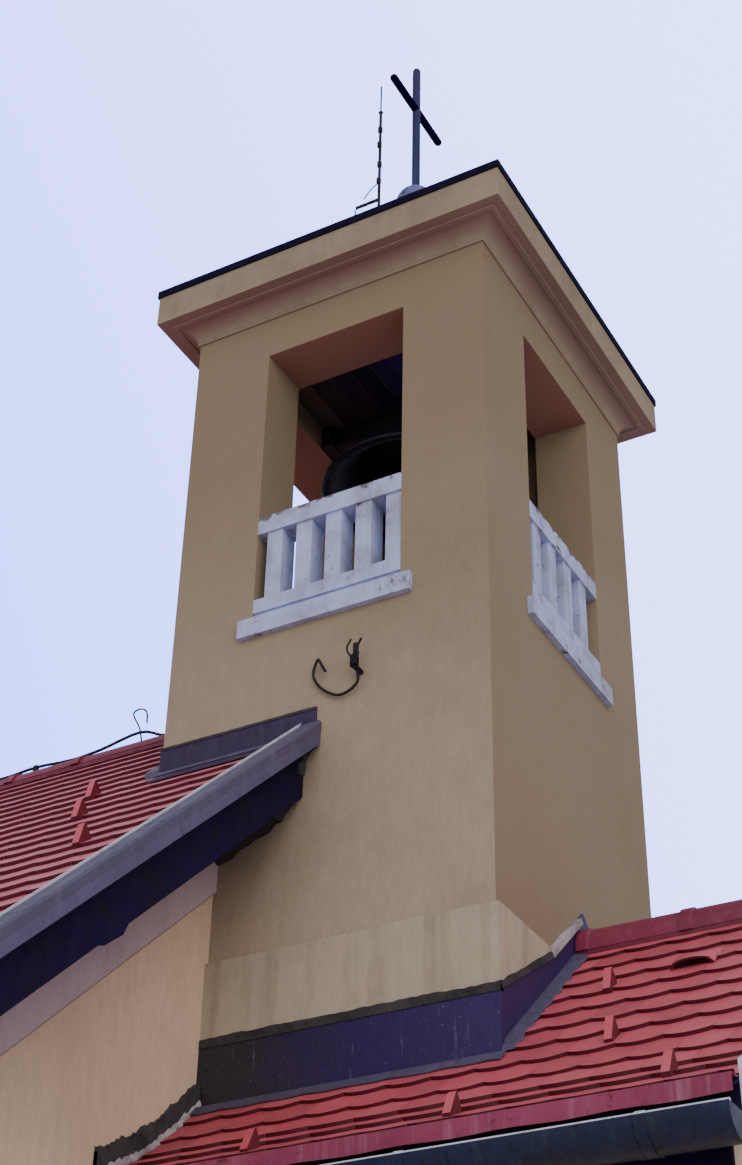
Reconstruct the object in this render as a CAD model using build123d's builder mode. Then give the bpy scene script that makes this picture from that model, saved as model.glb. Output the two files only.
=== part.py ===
from build123d import *
import math
import os

# Small chapel: a gabled nave, a square bell tower on its entrance gable and a low porch below.
# X runs along the ridges towards the porch, Y across them and Z up from the ground, in mm.
# The front named below is the -Y side, and the back is +Y.

# Tower
tower_width = 1640.0
tower_depth = 1680.0
tower_wall = 292.0
tower_top = 8000.0
tower_inset = 328.0
opening_width = 770.0
opening_bottom = 6014.0
opening_top = 7738.0
belfry_floor_depth = 120.0
belfry_floor_drop = 30.0
ceiling_depth = 115.0
render_patch_top = 4432.0
render_patch_thickness = 22.0

# Sills and balustrades
sill_height = 96.0
sill_reach = 30.0
sill_ear = 61.0
sill_bed_height = 42.0
sill_bed_setback = 12.0
rail_depth = 130.0
rail_height = 98.0
bottom_rail_height = 75.0
balustrade_height = 551.0
baluster_width = 84.0
baluster_depth = 108.0
baluster_start = 50.0
baluster_pitch = 159.0
side_baluster_pitch = 175.0

# Cornice and tower roof
cove_reach = 95.0
cove_rise = 73.0
cove_step = 12.0
cornice_reach = 171.0
fascia_height = 231.0
trim_reach = 8.0
trim_height = 46.0
tower_roof_rise = 936.0
tower_roof_cap = 60.0

# Cross, ball and lightning rod
ball_radius = 115.0
ball_neck_radius = 32.0
ball_neck_height = 65.0
ball_collar_radius = 30.0
ball_bands = 9
cross_tube_radius = 20.0
cross_height = 1073.0
cross_bar_length = 590.0
cross_bar_drop = 374.0
cross_end_chamfer = 8.0
rod_offset_x = 190.0
rod_offset_y = 100.0
rod_tip = 10445.0
rod_knob_drop = 232.0
rod_radius = 9.0
rod_tip_radius = 5.0
rod_knob_radius = 15.0
rod_bracket_height = 9465.0
rod_bracket_reach = 153.0
rod_bracket_size = 14.0

# Bell, yoke, clapper and bearings
bell_axis = 7815.0
bell_drop = 72.0
bell_height = 448.0
bell_lip_radius = 480.0
bell_lip_thickness = 30.0
bell_lip_height = 14.0
bell_bow_radius = 400.0
bell_bow_height = 76.0
bell_flare_radius = 346.0
bell_flare_height = 150.0
bell_side_radius = 294.0
bell_side_height = 253.0
bell_waist_radius = 262.0
bell_waist_height = 360.0
bell_shoulder_radius = 238.0
bell_shoulder_height = 418.0
bell_crown_radius = 175.0
bell_wall = 30.0
bell_crown_wall = 36.0
yoke_depth = 100.0
yoke_rise = 35.0
yoke_gap = 8.0
gudgeon_radius = 20.0
gudgeon_clearance = 0.1
gudgeon_length = 62.0
bearing_reach = 70.0
bearing_width = 150.0
bearing_margin = 6.0
clapper_rod_radius = 13.0
clapper_ball_radius = 46.0
clapper_ball_lift = 62.0
clapper_tail = 40.0

# Nave
nave_length = 7046.0
nave_width = 5900.0
nave_wall = 380.0
nave_ridge = 6205.0
nave_pitch = 43.2
nave_eaves = 400.0
nave_roof_depth = 190.0
verge_lip_depth = 54.0
verge_lip_reach = 476.0
verge_reach = 500.0
verge_cap_inner = 392.0
verge_cap_height = 62.0
verge_cap_bevel = 12.0
barge_inner = 394.0
barge_thickness = 26.0
barge_bottom = 300.0
soffit_wall_drop = 502.0
soffit_thickness = 25.0
frieze_height = 148.0
frieze_reach = 16.0

# Porch
porch_length = 2290.0
porch_width = 2500.0
porch_wall = 300.0
porch_ridge = 4560.0
porch_pitch = 41.7
porch_kick = 310.0
porch_kick_pitch = 31.0
porch_eaves = 220.0
porch_roof_depth = 150.0
porch_verge = 150.0
porch_barge_thickness = 26.0
porch_barge_bottom = 210.0
eaves_lip_reach = 56.0
eaves_lip_depth = 8.0
porch_slab_bottom = 3200.0
porch_slab_depth = 150.0
slab_bearing = 150.0
passage_width = 1400.0

# Doorway in the porch
doorway_width = 960.0
doorway_height = 2150.0
door_frame_width = 70.0
door_frame_depth = 110.0
door_setback = 60.0
door_thickness = 48.0
plank_count = 6
plank_groove = 5.0

# Ridges, gutters and flashings
ridge_radius = 100.0
nave_ridge_sink = 88.0
porch_ridge_sink = 15.0
gutter_radius = 98.0
gutter_wall = 4.0
gutter_drop = 134.0
gutter_inset = 12.0
upper_flashing_rise = 130.0
lower_flashing_rise = 285.0
side_flashing_rise = 186.0
side_flashing_knee = 375.0
gable_flashing_rise = 130.0
gable_flashing_thickness = 16.0
flashing_thickness = 8.0
apron_width = 95.0
apron_thickness = 5.0

# Wall hook on the front of the tower: a flat bar let into the wall and turned up
hook_from_corner = 1021.0
hook_height = 5660.0
hook_bar = 18.0
hook_reach = 65.0
hook_rise = 118.0

# Places that follow from the sizes
gable_x = (nave_length + verge_reach - porch_length - porch_verge) / 2
tower_left = gable_x - tower_inset
tower_right = tower_left + tower_width
tower_x = (tower_left + tower_right) / 2
tower_face = tower_depth / 2
far_gable_x = gable_x - nave_length
porch_end_x = gable_x + porch_length
nave_half = nave_width / 2
nave_edge = nave_half + nave_eaves
porch_half = porch_width / 2
porch_edge = porch_half + porch_eaves
porch_kick_start = porch_edge - porch_kick
cornice_top = tower_top + cove_rise + fascia_height
roof_apex = cornice_top + tower_roof_rise
ball_center = roof_apex + ball_neck_height + ball_radius
cross_foot = ball_center + math.sqrt(ball_radius**2 - ball_collar_radius**2)
porch_slab_top = porch_slab_bottom + porch_slab_depth
sill_top = opening_bottom + sill_height
sill_bed_top = sill_top + sill_bed_height
chamber_half_x = tower_width / 2 - tower_wall
chamber_half_y = tower_face - tower_wall
bell_top = bell_axis - bell_drop
bell_mouth = bell_top - bell_height
sides = {"front": -1, "back": 1}
built = {}

os.makedirs("parts", exist_ok=True)


def nave_surface(y):
    return nave_ridge - abs(y) * math.tan(math.radians(nave_pitch))


# The porch roof's slope eases over its last courses above the eaves
def porch_surface(y):
    upper = min(abs(y), porch_kick_start)
    fall = upper * math.tan(math.radians(porch_pitch))
    return porch_ridge - fall - (abs(y) - upper) * math.tan(math.radians(porch_kick_pitch))


roof_bends = {nave_surface: [], porch_surface: [porch_kick_start]}


def block(x_span, y_span, z_span, mode=Mode.ADD):
    size = (x_span[1] - x_span[0], y_span[1] - y_span[0], z_span[1] - z_span[0])
    with Locations((x_span[0], y_span[0], z_span[0])):
        Box(*size, align=(Align.MIN, Align.MIN, Align.MIN), mode=mode)


def side_span(side, inner, outer):
    return (min(side * inner, side * outer), max(side * inner, side * outer))


def prism(points, plane, amount, direction=None, mode=Mode.ADD):
    with BuildSketch(plane) as section:
        with BuildLine():
            Polyline(*points, close=True)
        make_face()
    extrude(section.sketch, amount=amount, dir=direction, mode=mode)


def cross_section(points, x_start, x_end, mode=Mode.ADD):
    prism(points, Plane.YZ.offset(x_start), x_end - x_start, mode=mode)


# The line of a roof slope between two distances from its ridge, raised or lowered
def roof_line(surface, side, inner, outer, rise=0.0):
    stops = [inner, *[bend for bend in roof_bends[surface] if inner < bend < outer], outer]
    return [(side * y, surface(y) + rise) for y in stops]


# A layer that follows a roof slope between two heights from its surface
def roof_band(surface, side, span, low, high, x_span):
    layer = roof_line(surface, side, *span, low) + roof_line(surface, side, *span, high)[::-1]
    cross_section(layer, *x_span)


# A member that follows a roof slope, from its section in X and in height from the roof's surface
def slope_run(section, face_x, facing, surface, side, y_inner, y_outer):
    drop = surface(y_outer) - surface(y_inner)
    run = math.hypot(y_outer - y_inner, drop)
    placed = [(face_x + facing * reach, surface(y_inner) + rise) for reach, rise in section]
    direction = (0, side * (y_outer - y_inner) / run, drop / run)
    prism(placed, Plane.XZ.offset(-side * y_inner), run, direction)


def save(piece, name):
    piece.part.label = name
    export_step(piece.part, f"parts/{name}.step")
    built[name] = piece.part


# A plane lying in the ground sense on a tower face: X along the face, Y into the wall
def face_plane(turn, half_depth, height):
    angle = math.radians(turn)
    origin = (tower_x + half_depth * math.sin(angle), -half_depth * math.cos(angle), height)
    return Plane(origin=origin, x_dir=(math.cos(angle), math.sin(angle), 0), z_dir=(0, 0, 1))


tower_faces = {
    "front": (0, tower_face, tower_width, baluster_pitch),
    "right": (90, tower_width / 2, 2 * chamber_half_y, side_baluster_pitch),
    "back": (180, tower_face, tower_width, baluster_pitch),
    "left": (270, tower_width / 2, 2 * chamber_half_y, side_baluster_pitch),
}

# Tower walls, each with its belfry opening, standing on the slab over the porch
for name, (turn, half_depth, width, pitch) in tower_faces.items():
    with BuildPart() as tower_wall_piece:
        with BuildSketch(face_plane(turn, half_depth, porch_slab_top)) as wall_plan:
            Rectangle(width, tower_wall, align=(Align.CENTER, Align.MIN))
        extrude(wall_plan.sketch, amount=tower_top - porch_slab_top)
        with BuildSketch(face_plane(turn, half_depth, opening_bottom)) as opening_plan:
            Rectangle(opening_width, tower_wall, align=(Align.CENTER, Align.MIN))
        extrude(opening_plan.sketch, amount=opening_top - opening_bottom, mode=Mode.SUBTRACT)
    save(tower_wall_piece, f"tower_{name}_wall")

# Newer render low on the tower, standing proud of the older wall above its seam
with BuildPart() as tower_render_patch:
    for side in sides.values():
        patch_y = side_span(side, tower_face, tower_face + render_patch_thickness)
        patch_foot = porch_surface(tower_face) + lower_flashing_rise
        block((gable_x, tower_right + render_patch_thickness), patch_y, (patch_foot, render_patch_top))
        knee_top = porch_surface(side_flashing_knee) + side_flashing_rise
        patch_slope = (knee_top - patch_foot) / (tower_face - side_flashing_knee)
        patch_run = (render_patch_top - patch_foot) / patch_slope
        corner_patch = [
            (side * tower_face, patch_foot),
            (side * (tower_face - patch_run), render_patch_top),
            (side * tower_face, render_patch_top),
        ]
        cross_section(corner_patch, tower_right, tower_right + render_patch_thickness)
save(tower_render_patch, "tower_render_patch")

# Belfry floor and ceiling between the tower walls
chamber_x = (tower_x - chamber_half_x, tower_x + chamber_half_x)
chamber_y = (-chamber_half_y, chamber_half_y)
floor_top = opening_bottom - belfry_floor_drop
with BuildPart() as belfry_floor:
    block(chamber_x, chamber_y, (floor_top - belfry_floor_depth, floor_top))
save(belfry_floor, "belfry_floor")

with BuildPart() as belfry_ceiling:
    block(chamber_x, chamber_y, (tower_top - ceiling_depth, tower_top))
save(belfry_ceiling, "belfry_ceiling")

# Sills of the four openings, with a bed for the balustrade: the one over the nave's ridge has no ears
with BuildPart() as belfry_sills:
    for name, (turn, half_depth, width, pitch) in tower_faces.items():
        with BuildSketch(face_plane(turn, half_depth, opening_bottom)) as sill_plan:
            Rectangle(opening_width, tower_wall, align=(Align.CENTER, Align.MIN))
            if name != "left":
                Rectangle(opening_width + 2 * sill_ear, sill_reach, align=(Align.CENTER, Align.MAX))
        extrude(sill_plan.sketch, amount=sill_height)
        with BuildSketch(face_plane(turn, half_depth - sill_bed_setback, sill_top)) as bed_plan:
            Rectangle(opening_width, tower_wall - sill_bed_setback, align=(Align.CENTER, Align.MIN))
        extrude(bed_plan.sketch, amount=sill_bed_height)
save(belfry_sills, "belfry_sills")

# Balustrades: two rails and as many balusters as fit, set out from one side of each opening
top_rail_foot = sill_bed_top + balustrade_height - rail_height
baluster_foot = sill_bed_top + bottom_rail_height
with BuildPart() as balustrades:
    for turn, half_depth, width, pitch in tower_faces.values():
        for foot, height in ((sill_bed_top, bottom_rail_height), (top_rail_foot, rail_height)):
            with BuildSketch(face_plane(turn, half_depth, foot)) as rail_plan:
                Rectangle(opening_width, rail_depth, align=(Align.CENTER, Align.MIN))
            extrude(rail_plan.sketch, amount=height)
        baluster_count = int((opening_width - baluster_start - baluster_width) // pitch) + 1
        with BuildSketch(face_plane(turn, half_depth, baluster_foot)) as baluster_plan:
            for number in range(baluster_count):
                start = baluster_start - opening_width / 2 + number * pitch
                with Locations((start, rail_depth / 2)):
                    Rectangle(baluster_width, baluster_depth, align=(Align.MIN, Align.CENTER))
        extrude(baluster_plan.sketch, amount=top_rail_foot - baluster_foot)
save(balustrades, "balustrades")

# Cornice: a cove under a plain fascia, in one with the roof slab, that starts with a small step on the wall
with BuildPart() as tower_cornice:
    with BuildLine(Plane.XY.offset(tower_top)) as wall_line:
        Polyline(
            (tower_x, -tower_face),
            (tower_right, -tower_face),
            (tower_right, tower_face),
            (tower_left, tower_face),
            (tower_left, -tower_face),
            close=True,
        )
    bend = math.sqrt(0.5)
    with BuildSketch(Plane.YZ.offset(tower_x)) as moulding:
        with BuildLine():
            cove_foot = (-tower_face - cove_step, tower_top)
            cove_bulge = (cove_reach - cove_step) * (1 - bend)
            cove_middle = (-tower_face - cove_step - cove_bulge, tower_top + cove_rise * bend)
            cove_end = (-tower_face - cove_reach, tower_top + cove_rise)
            ThreePointArc(cove_foot, cove_middle, cove_end)
            Polyline(
                cove_end,
                (-tower_face - cornice_reach, tower_top + cove_rise),
                (-tower_face - cornice_reach, cornice_top),
                (-tower_face, cornice_top),
                (-tower_face, tower_top),
                cove_foot,
            )
        make_face()
    sweep(moulding.sketch, path=wall_line.line, transition=Transition.RIGHT)
    block((tower_left, tower_right), (-tower_face, tower_face), (tower_top, cornice_top))
save(tower_cornice, "tower_cornice")

# Pyramid roof, hidden from the ground behind the cornice, with a metal drip round its foot
fascia_half_x = tower_width / 2 + cornice_reach
fascia_half_y = tower_face + cornice_reach
with BuildPart() as tower_roof:
    with BuildSketch(Plane.XY.offset(cornice_top)) as roof_foot:
        with Locations((tower_x, 0)):
            Rectangle(2 * (fascia_half_x + trim_reach), 2 * (fascia_half_y + trim_reach))
    roof_run = fascia_half_x + trim_reach - tower_roof_cap / 2
    roof_lean = math.degrees(math.atan(roof_run / tower_roof_rise))
    extrude(roof_foot.sketch, amount=tower_roof_rise, taper=roof_lean)
    with BuildSketch(Plane.XY.offset(cornice_top - trim_height)) as trim_plan:
        with Locations((tower_x, 0)):
            Rectangle(2 * (fascia_half_x + trim_reach), 2 * (fascia_half_y + trim_reach))
            Rectangle(2 * fascia_half_x, 2 * fascia_half_y, mode=Mode.SUBTRACT)
    extrude(trim_plan.sketch, amount=trim_height)
save(tower_roof, "tower_roof")

# Cross of round tube with its bar across the ridge, on a ball turned in flat bands over a neck
tower_axis = Axis((tower_x, 0, 0), (0, 0, 1))
with BuildPart() as cross:
    neck_angle = math.asin(ball_neck_radius / ball_radius)
    collar_angle = math.asin(ball_collar_radius / ball_radius)
    arc_step = (math.pi - neck_angle - collar_angle) / ball_bands
    ball_angles = [neck_angle + band * arc_step for band in range(ball_bands + 1)]
    ball_line = [
        (tower_x + ball_radius * math.sin(angle), ball_center - ball_radius * math.cos(angle))
        for angle in ball_angles
    ]
    with BuildSketch(Plane.XZ) as ball_profile:
        with BuildLine():
            Polyline(
                (tower_x, roof_apex),
                (tower_x + ball_neck_radius, roof_apex),
                *ball_line,
                (tower_x, cross_foot),
                close=True,
            )
        make_face()
    revolve(ball_profile.sketch, axis=tower_axis)
    with BuildSketch(Plane.XY.offset(cross_foot)) as post_section:
        with Locations((tower_x, 0)):
            Circle(cross_tube_radius)
    extrude(post_section.sketch, amount=cross_height)
    with BuildSketch(Plane.XZ.offset(-cross_bar_length / 2)) as bar_section:
        with Locations((tower_x, cross_foot + cross_height - cross_bar_drop)):
            Circle(cross_tube_radius)
    extrude(bar_section.sketch, amount=cross_bar_length)
    chamfer(cross.edges().filter_by(GeomType.CIRCLE).group_by(Axis.Z)[-1], cross_end_chamfer)
save(cross, "cross")

# Lightning rod standing on the roof beside the ball, with a knob and a stand-off bracket
rod_x = tower_x - rod_offset_x
rod_knob = rod_tip - rod_knob_drop
with BuildPart() as lightning_rod:
    with BuildSketch(Plane.XZ.offset(rod_offset_y)) as rod_profile:
        with BuildLine():
            Polyline(
                (rod_x, cornice_top),
                (rod_x + rod_radius, cornice_top),
                (rod_x + rod_radius, rod_knob - rod_knob_radius),
                (rod_x + rod_knob_radius, rod_knob),
                (rod_x + rod_tip_radius, rod_knob + rod_knob_radius),
                (rod_x + rod_tip_radius, rod_tip),
                (rod_x, rod_tip),
                close=True,
            )
        make_face()
    revolve(rod_profile.sketch, axis=Axis((rod_x, -rod_offset_y, 0), (0, 0, 1)))
    bracket_z = (rod_bracket_height - rod_bracket_size / 2, rod_bracket_height + rod_bracket_size / 2)
    bracket_y = (-rod_offset_y - rod_bracket_size / 2, -rod_offset_y + rod_bracket_size / 2)
    block((rod_x - rod_bracket_reach, rod_x), bracket_y, bracket_z)
    add(tower_roof.part, mode=Mode.SUBTRACT)
    add(tower_cornice.part, mode=Mode.SUBTRACT)
save(lightning_rod, "lightning_rod")


# Bell turned about the tower's axis: its outside and inside lines from the lip to the crown
bell_stations = (
    (bell_bow_radius, bell_bow_height),
    (bell_flare_radius, bell_flare_height),
    (bell_side_radius, bell_side_height),
    (bell_waist_radius, bell_waist_height),
    (bell_shoulder_radius, bell_shoulder_height),
)
with BuildPart() as bell:
    with BuildSketch(Plane.XZ) as bell_profile:
        outside = [(tower_x + radius, bell_mouth + height) for radius, height in bell_stations]
        inside = [(x - bell_wall, z - bell_wall / 2) for x, z in outside]
        with BuildLine():
            Polyline(
                (tower_x + bell_lip_radius, bell_mouth + bell_lip_height),
                *outside,
                (tower_x + bell_crown_radius, bell_top),
                (tower_x, bell_top),
                (tower_x, bell_top - bell_crown_wall),
                (tower_x + bell_crown_radius, bell_top - bell_crown_wall),
                *inside[::-1],
                (tower_x + bell_lip_radius - bell_lip_thickness, bell_mouth),
                close=True,
            )
        make_face()
    revolve(bell_profile.sketch, axis=tower_axis)
save(bell, "bell")

# Yoke bolted on the bell's crown, with a gudgeon at each end
yoke_half = chamber_half_x - bearing_reach - yoke_gap
with BuildPart() as bell_yoke:
    yoke_x = (tower_x - yoke_half, tower_x + yoke_half)
    block(yoke_x, (-yoke_depth / 2, yoke_depth / 2), (bell_top, bell_axis + yoke_rise))
    gudgeon_half = yoke_half + gudgeon_length
    with BuildSketch(Plane.YZ.offset(tower_x - gudgeon_half)) as gudgeon_section:
        with Locations((0, bell_axis)):
            Circle(gudgeon_radius)
    extrude(gudgeon_section.sketch, amount=2 * gudgeon_half)
save(bell_yoke, "bell_yoke")

# Clapper hanging from the crown inside the bell, turned as one rod with a rounded head
clapper_ball_z = bell_mouth + clapper_ball_lift
clapper_shoulder = clapper_ball_radius * math.sqrt(0.5)
with BuildPart() as bell_clapper:
    with BuildSketch(Plane.XZ) as clapper_profile:
        with BuildLine():
            Polyline(
                (tower_x, bell_top - bell_crown_wall),
                (tower_x + clapper_rod_radius, bell_top - bell_crown_wall),
                (tower_x + clapper_rod_radius, clapper_ball_z + clapper_ball_radius),
                (tower_x + clapper_shoulder, clapper_ball_z + clapper_shoulder),
                (tower_x + clapper_ball_radius, clapper_ball_z),
                (tower_x + clapper_shoulder, clapper_ball_z - clapper_shoulder),
                (tower_x + clapper_rod_radius, clapper_ball_z - clapper_ball_radius),
                (tower_x + clapper_rod_radius, clapper_ball_z - clapper_ball_radius - clapper_tail),
                (tower_x, clapper_ball_z - clapper_ball_radius - clapper_tail),
                close=True,
            )
        make_face()
    revolve(clapper_profile.sketch, axis=tower_axis)
save(bell_clapper, "bell_clapper")

# Bearing blocks on the left and right walls, over their openings
bearing_z = (opening_top + bearing_margin, tower_top - ceiling_depth - bearing_margin)
with BuildPart() as bell_bearings:
    for facing in (-1, 1):
        wall_x = tower_x + facing * chamber_half_x
        bearing_x = sorted((wall_x, wall_x - facing * bearing_reach))
        block(bearing_x, (-bearing_width / 2, bearing_width / 2), bearing_z)
    with BuildSketch(Plane.YZ.offset(tower_x - chamber_half_x)) as bore_section:
        with Locations((0, bell_axis)):
            Circle(gudgeon_radius + gudgeon_clearance)
    extrude(bore_section.sketch, amount=2 * chamber_half_x, mode=Mode.SUBTRACT)
save(bell_bearings, "bell_bearings")

# Nave walls under the roof's underside
def nave_underside(y):
    return nave_surface(y) - nave_roof_depth


for name, side in sides.items():
    with BuildPart() as nave_side_wall:
        inner = nave_half - nave_wall
        wall_section = [
            (side * inner, 0),
            (side * nave_half, 0),
            (side * nave_half, nave_underside(nave_half)),
            (side * inner, nave_underside(inner)),
        ]
        cross_section(wall_section, far_gable_x + nave_wall, gable_x - nave_wall)
    save(nave_side_wall, f"nave_{name}_wall")

    with BuildPart() as entrance_gable:
        gable_section = [
            (side * nave_half, 0),
            (side * passage_width / 2, 0),
            (side * passage_width / 2, porch_slab_bottom),
            (side * tower_face, porch_slab_bottom),
            (side * tower_face, nave_underside(tower_face)),
            (side * nave_half, nave_underside(nave_half)),
        ]
        cross_section(gable_section, gable_x - nave_wall, gable_x)
    save(entrance_gable, f"entrance_gable_{name}")

with BuildPart() as far_gable_wall:
    far_section = [
        (-nave_half, 0),
        (nave_half, 0),
        (nave_half, nave_underside(nave_half)),
        (0, nave_underside(0)),
        (-nave_half, nave_underside(nave_half)),
    ]
    cross_section(far_section, far_gable_x, far_gable_x + nave_wall)
save(far_gable_wall, "far_gable_wall")


# The tower stands through the roofs
def cut_tower():
    block((tower_left, tower_right), (-tower_face, tower_face), (0, tower_top), mode=Mode.SUBTRACT)


# Nave roof: a deep slab between the barge boards with a thin lip over them
for name, side in sides.items():
    with BuildPart() as nave_roof:
        slab_x = (far_gable_x - barge_inner, gable_x + barge_inner)
        lip_x = (far_gable_x - verge_lip_reach, gable_x + verge_lip_reach)
        roof_band(nave_surface, side, (0, nave_edge), -nave_roof_depth, 0, slab_x)
        roof_band(nave_surface, side, (0, nave_edge), -verge_lip_depth, 0, lip_x)
        cut_tower()
    save(nave_roof, f"nave_roof_{name}")

    with BuildPart() as porch_roof:
        slab_x = (gable_x, porch_end_x + porch_verge - porch_barge_thickness)
        roof_band(porch_surface, side, (0, porch_edge), -porch_roof_depth, 0, slab_x)
        lip_span = (porch_edge, porch_edge + eaves_lip_reach)
        roof_band(porch_surface, side, lip_span, -eaves_lip_depth, 0, slab_x)
        cut_tower()
    save(porch_roof, f"porch_roof_{name}")

# Ridge caps, bedded on both slopes
for name, surface, sink, x_start, x_end in (
    ("nave_ridge", nave_surface, nave_ridge_sink, far_gable_x - verge_reach, tower_left),
    ("porch_ridge", porch_surface, porch_ridge_sink, tower_right, porch_end_x + porch_verge),
):
    with BuildPart() as ridge:
        with BuildSketch(Plane.YZ.offset(x_start)) as ridge_section:
            with Locations((0, surface(0) - sink)):
                Circle(ridge_radius)
            with BuildLine():
                reach = 2 * ridge_radius
                Polyline(
                    (0, surface(0)),
                    (reach, surface(reach)),
                    (reach, surface(0) - 2 * reach),
                    (-reach, surface(0) - 2 * reach),
                    (-reach, surface(reach)),
                    close=True,
                )
            make_face(mode=Mode.SUBTRACT)
        extrude(ridge_section.sketch, amount=x_end - x_start)
    save(ridge, name)

# Verge of the nave: cap, barge board, sloping soffit and frieze band, on both gables
verge_cap_section = [
    (verge_cap_inner, 0),
    (verge_cap_inner + verge_cap_bevel, verge_cap_height),
    (verge_reach - verge_cap_bevel, verge_cap_height),
    (verge_reach, verge_cap_height - verge_cap_bevel),
    (verge_reach, 0),
]
barge_section = [
    (barge_inner, -verge_lip_depth),
    (barge_inner + barge_thickness, -verge_lip_depth),
    (barge_inner + barge_thickness, -barge_bottom),
    (barge_inner, -barge_bottom),
]
soffit_section = [
    (0, -soffit_wall_drop),
    (barge_inner, -barge_bottom),
    (barge_inner, -barge_bottom + soffit_thickness),
    (0, -soffit_wall_drop + soffit_thickness),
]
frieze_top = -soffit_wall_drop + frieze_reach * (soffit_wall_drop - barge_bottom) / barge_inner
frieze_section = [
    (0, -soffit_wall_drop),
    (frieze_reach, frieze_top),
    (frieze_reach, -soffit_wall_drop - frieze_height),
    (0, -soffit_wall_drop - frieze_height),
]
verge_members = {
    "nave_verge_caps": (verge_cap_section, ridge_radius, nave_edge),
    "nave_barge_boards": (barge_section, 0, nave_edge),
    "nave_verge_soffits": (soffit_section, 0, nave_edge),
    "nave_friezes": (frieze_section, 0, nave_half),
}
for name, (section, far_inner, outer) in verge_members.items():
    with BuildPart() as verge_member:
        for side in sides.values():
            slope_run(section, gable_x, 1, nave_surface, side, tower_face, outer)
            slope_run(section, far_gable_x, -1, nave_surface, side, far_inner, outer)
    save(verge_member, name)

# Half-round gutters with closed ends, hung against the eaves of the nave and the porch
nave_gutter_x = (far_gable_x - barge_inner, gable_x + barge_inner)
porch_gutter_x = (gable_x, porch_end_x + porch_verge + gutter_inset)
with BuildPart() as gutters:
    for surface, edge, (x_start, x_end) in (
        (nave_surface, nave_edge, nave_gutter_x),
        (porch_surface, porch_edge, porch_gutter_x),
    ):
        outer_x = (x_start + gutter_inset, x_end - gutter_inset)
        inner_x = (outer_x[0] + gutter_wall, outer_x[1] - gutter_wall)
        for side in sides.values():
            center = (side * (edge + gutter_radius), surface(edge) - gutter_drop)
            for radius, (start, end), mode in (
                (gutter_radius, outer_x, Mode.ADD),
                (gutter_radius - gutter_wall, inner_x, Mode.SUBTRACT),
            ):
                with BuildSketch(Plane.YZ.offset(start)) as gutter_section:
                    with Locations(center):
                        Circle(radius)
                        Rectangle(2 * radius, radius, align=(Align.CENTER, Align.MIN), mode=Mode.SUBTRACT)
                extrude(gutter_section.sketch, amount=end - start, mode=mode)
save(gutters, "gutters")

# Porch walls: side walls with a ledge for the slab, and the end wall round the doorway
for name, side in sides.items():
    with BuildPart() as porch_side_wall:
        inner = porch_half - porch_wall
        ledge = inner + slab_bearing
        wall_section = [
            (side * inner, 0),
            (side * porch_half, 0),
            *roof_line(porch_surface, side, ledge, porch_half, -porch_roof_depth)[::-1],
            (side * ledge, porch_slab_bottom),
            (side * inner, porch_slab_bottom),
        ]
        cross_section(wall_section, gable_x, porch_end_x - porch_wall)
    save(porch_side_wall, f"porch_{name}_wall")

    with BuildPart() as porch_end_side:
        end_section = [
            (side * doorway_width / 2, 0),
            (side * porch_half, 0),
            *roof_line(porch_surface, side, doorway_width / 2, porch_half, -porch_roof_depth)[::-1],
        ]
        cross_section(end_section, porch_end_x - porch_wall, porch_end_x)
    save(porch_end_side, f"porch_end_wall_{name}")

with BuildPart() as porch_end_over:
    over_section = [
        (-doorway_width / 2, doorway_height),
        (doorway_width / 2, doorway_height),
        *roof_line(porch_surface, 1, 0, doorway_width / 2, -porch_roof_depth)[::-1],
        (-doorway_width / 2, porch_surface(doorway_width / 2) - porch_roof_depth),
    ]
    cross_section(over_section, porch_end_x - porch_wall, porch_end_x)
save(porch_end_over, "porch_end_wall_over_door")

# Slab over the porch that carries the tower
with BuildPart() as porch_slab:
    ledge = porch_half - porch_wall + slab_bearing
    slab_z = (porch_slab_bottom, porch_slab_top)
    block((tower_left, gable_x), (-tower_face, tower_face), slab_z)
    block((gable_x, porch_end_x - porch_wall), (-ledge, ledge), slab_z)
save(porch_slab, "porch_slab")

# Barge boards on the porch's end
with BuildPart() as porch_barge_boards:
    verge_end = porch_end_x + porch_verge
    for side in sides.values():
        barge_x = (verge_end - porch_barge_thickness, verge_end)
        barge_span = (ridge_radius, porch_edge)
        roof_band(porch_surface, side, barge_span, -porch_barge_bottom, verge_cap_height, barge_x)
save(porch_barge_boards, "porch_barge_boards")

# Door frame and plank door, closed
frame_x = (porch_end_x - door_setback - door_frame_depth, porch_end_x - door_setback)
door_half = doorway_width / 2 - door_frame_width
door_top = doorway_height - door_frame_width
with BuildPart() as door_frame:
    block(frame_x, (-doorway_width / 2, doorway_width / 2), (0, doorway_height))
    block(frame_x, (-door_half, door_half), (0, door_top), mode=Mode.SUBTRACT)
save(door_frame, "door_frame")

with BuildPart() as door:
    door_x = (frame_x[1] - door_thickness, frame_x[1])
    block(door_x, (-door_half, door_half), (0, door_top))
    plank_width = 2 * door_half / plank_count
    for number in range(1, plank_count):
        groove_y = -door_half + number * plank_width
        groove_span = (groove_y - plank_groove / 2, groove_y + plank_groove / 2)
        block((door_x[1] - plank_groove, door_x[1]), groove_span, (0, door_top), mode=Mode.SUBTRACT)
save(door, "door")

# Strip beside the tower that lies on the roof, along its front and back faces
def side_apron(surface, x_start, x_end):
    for side in sides.values():
        apron_span = (tower_face, tower_face + apron_width)
        roof_band(surface, side, apron_span, 0, apron_thickness, (x_start, x_end))


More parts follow.
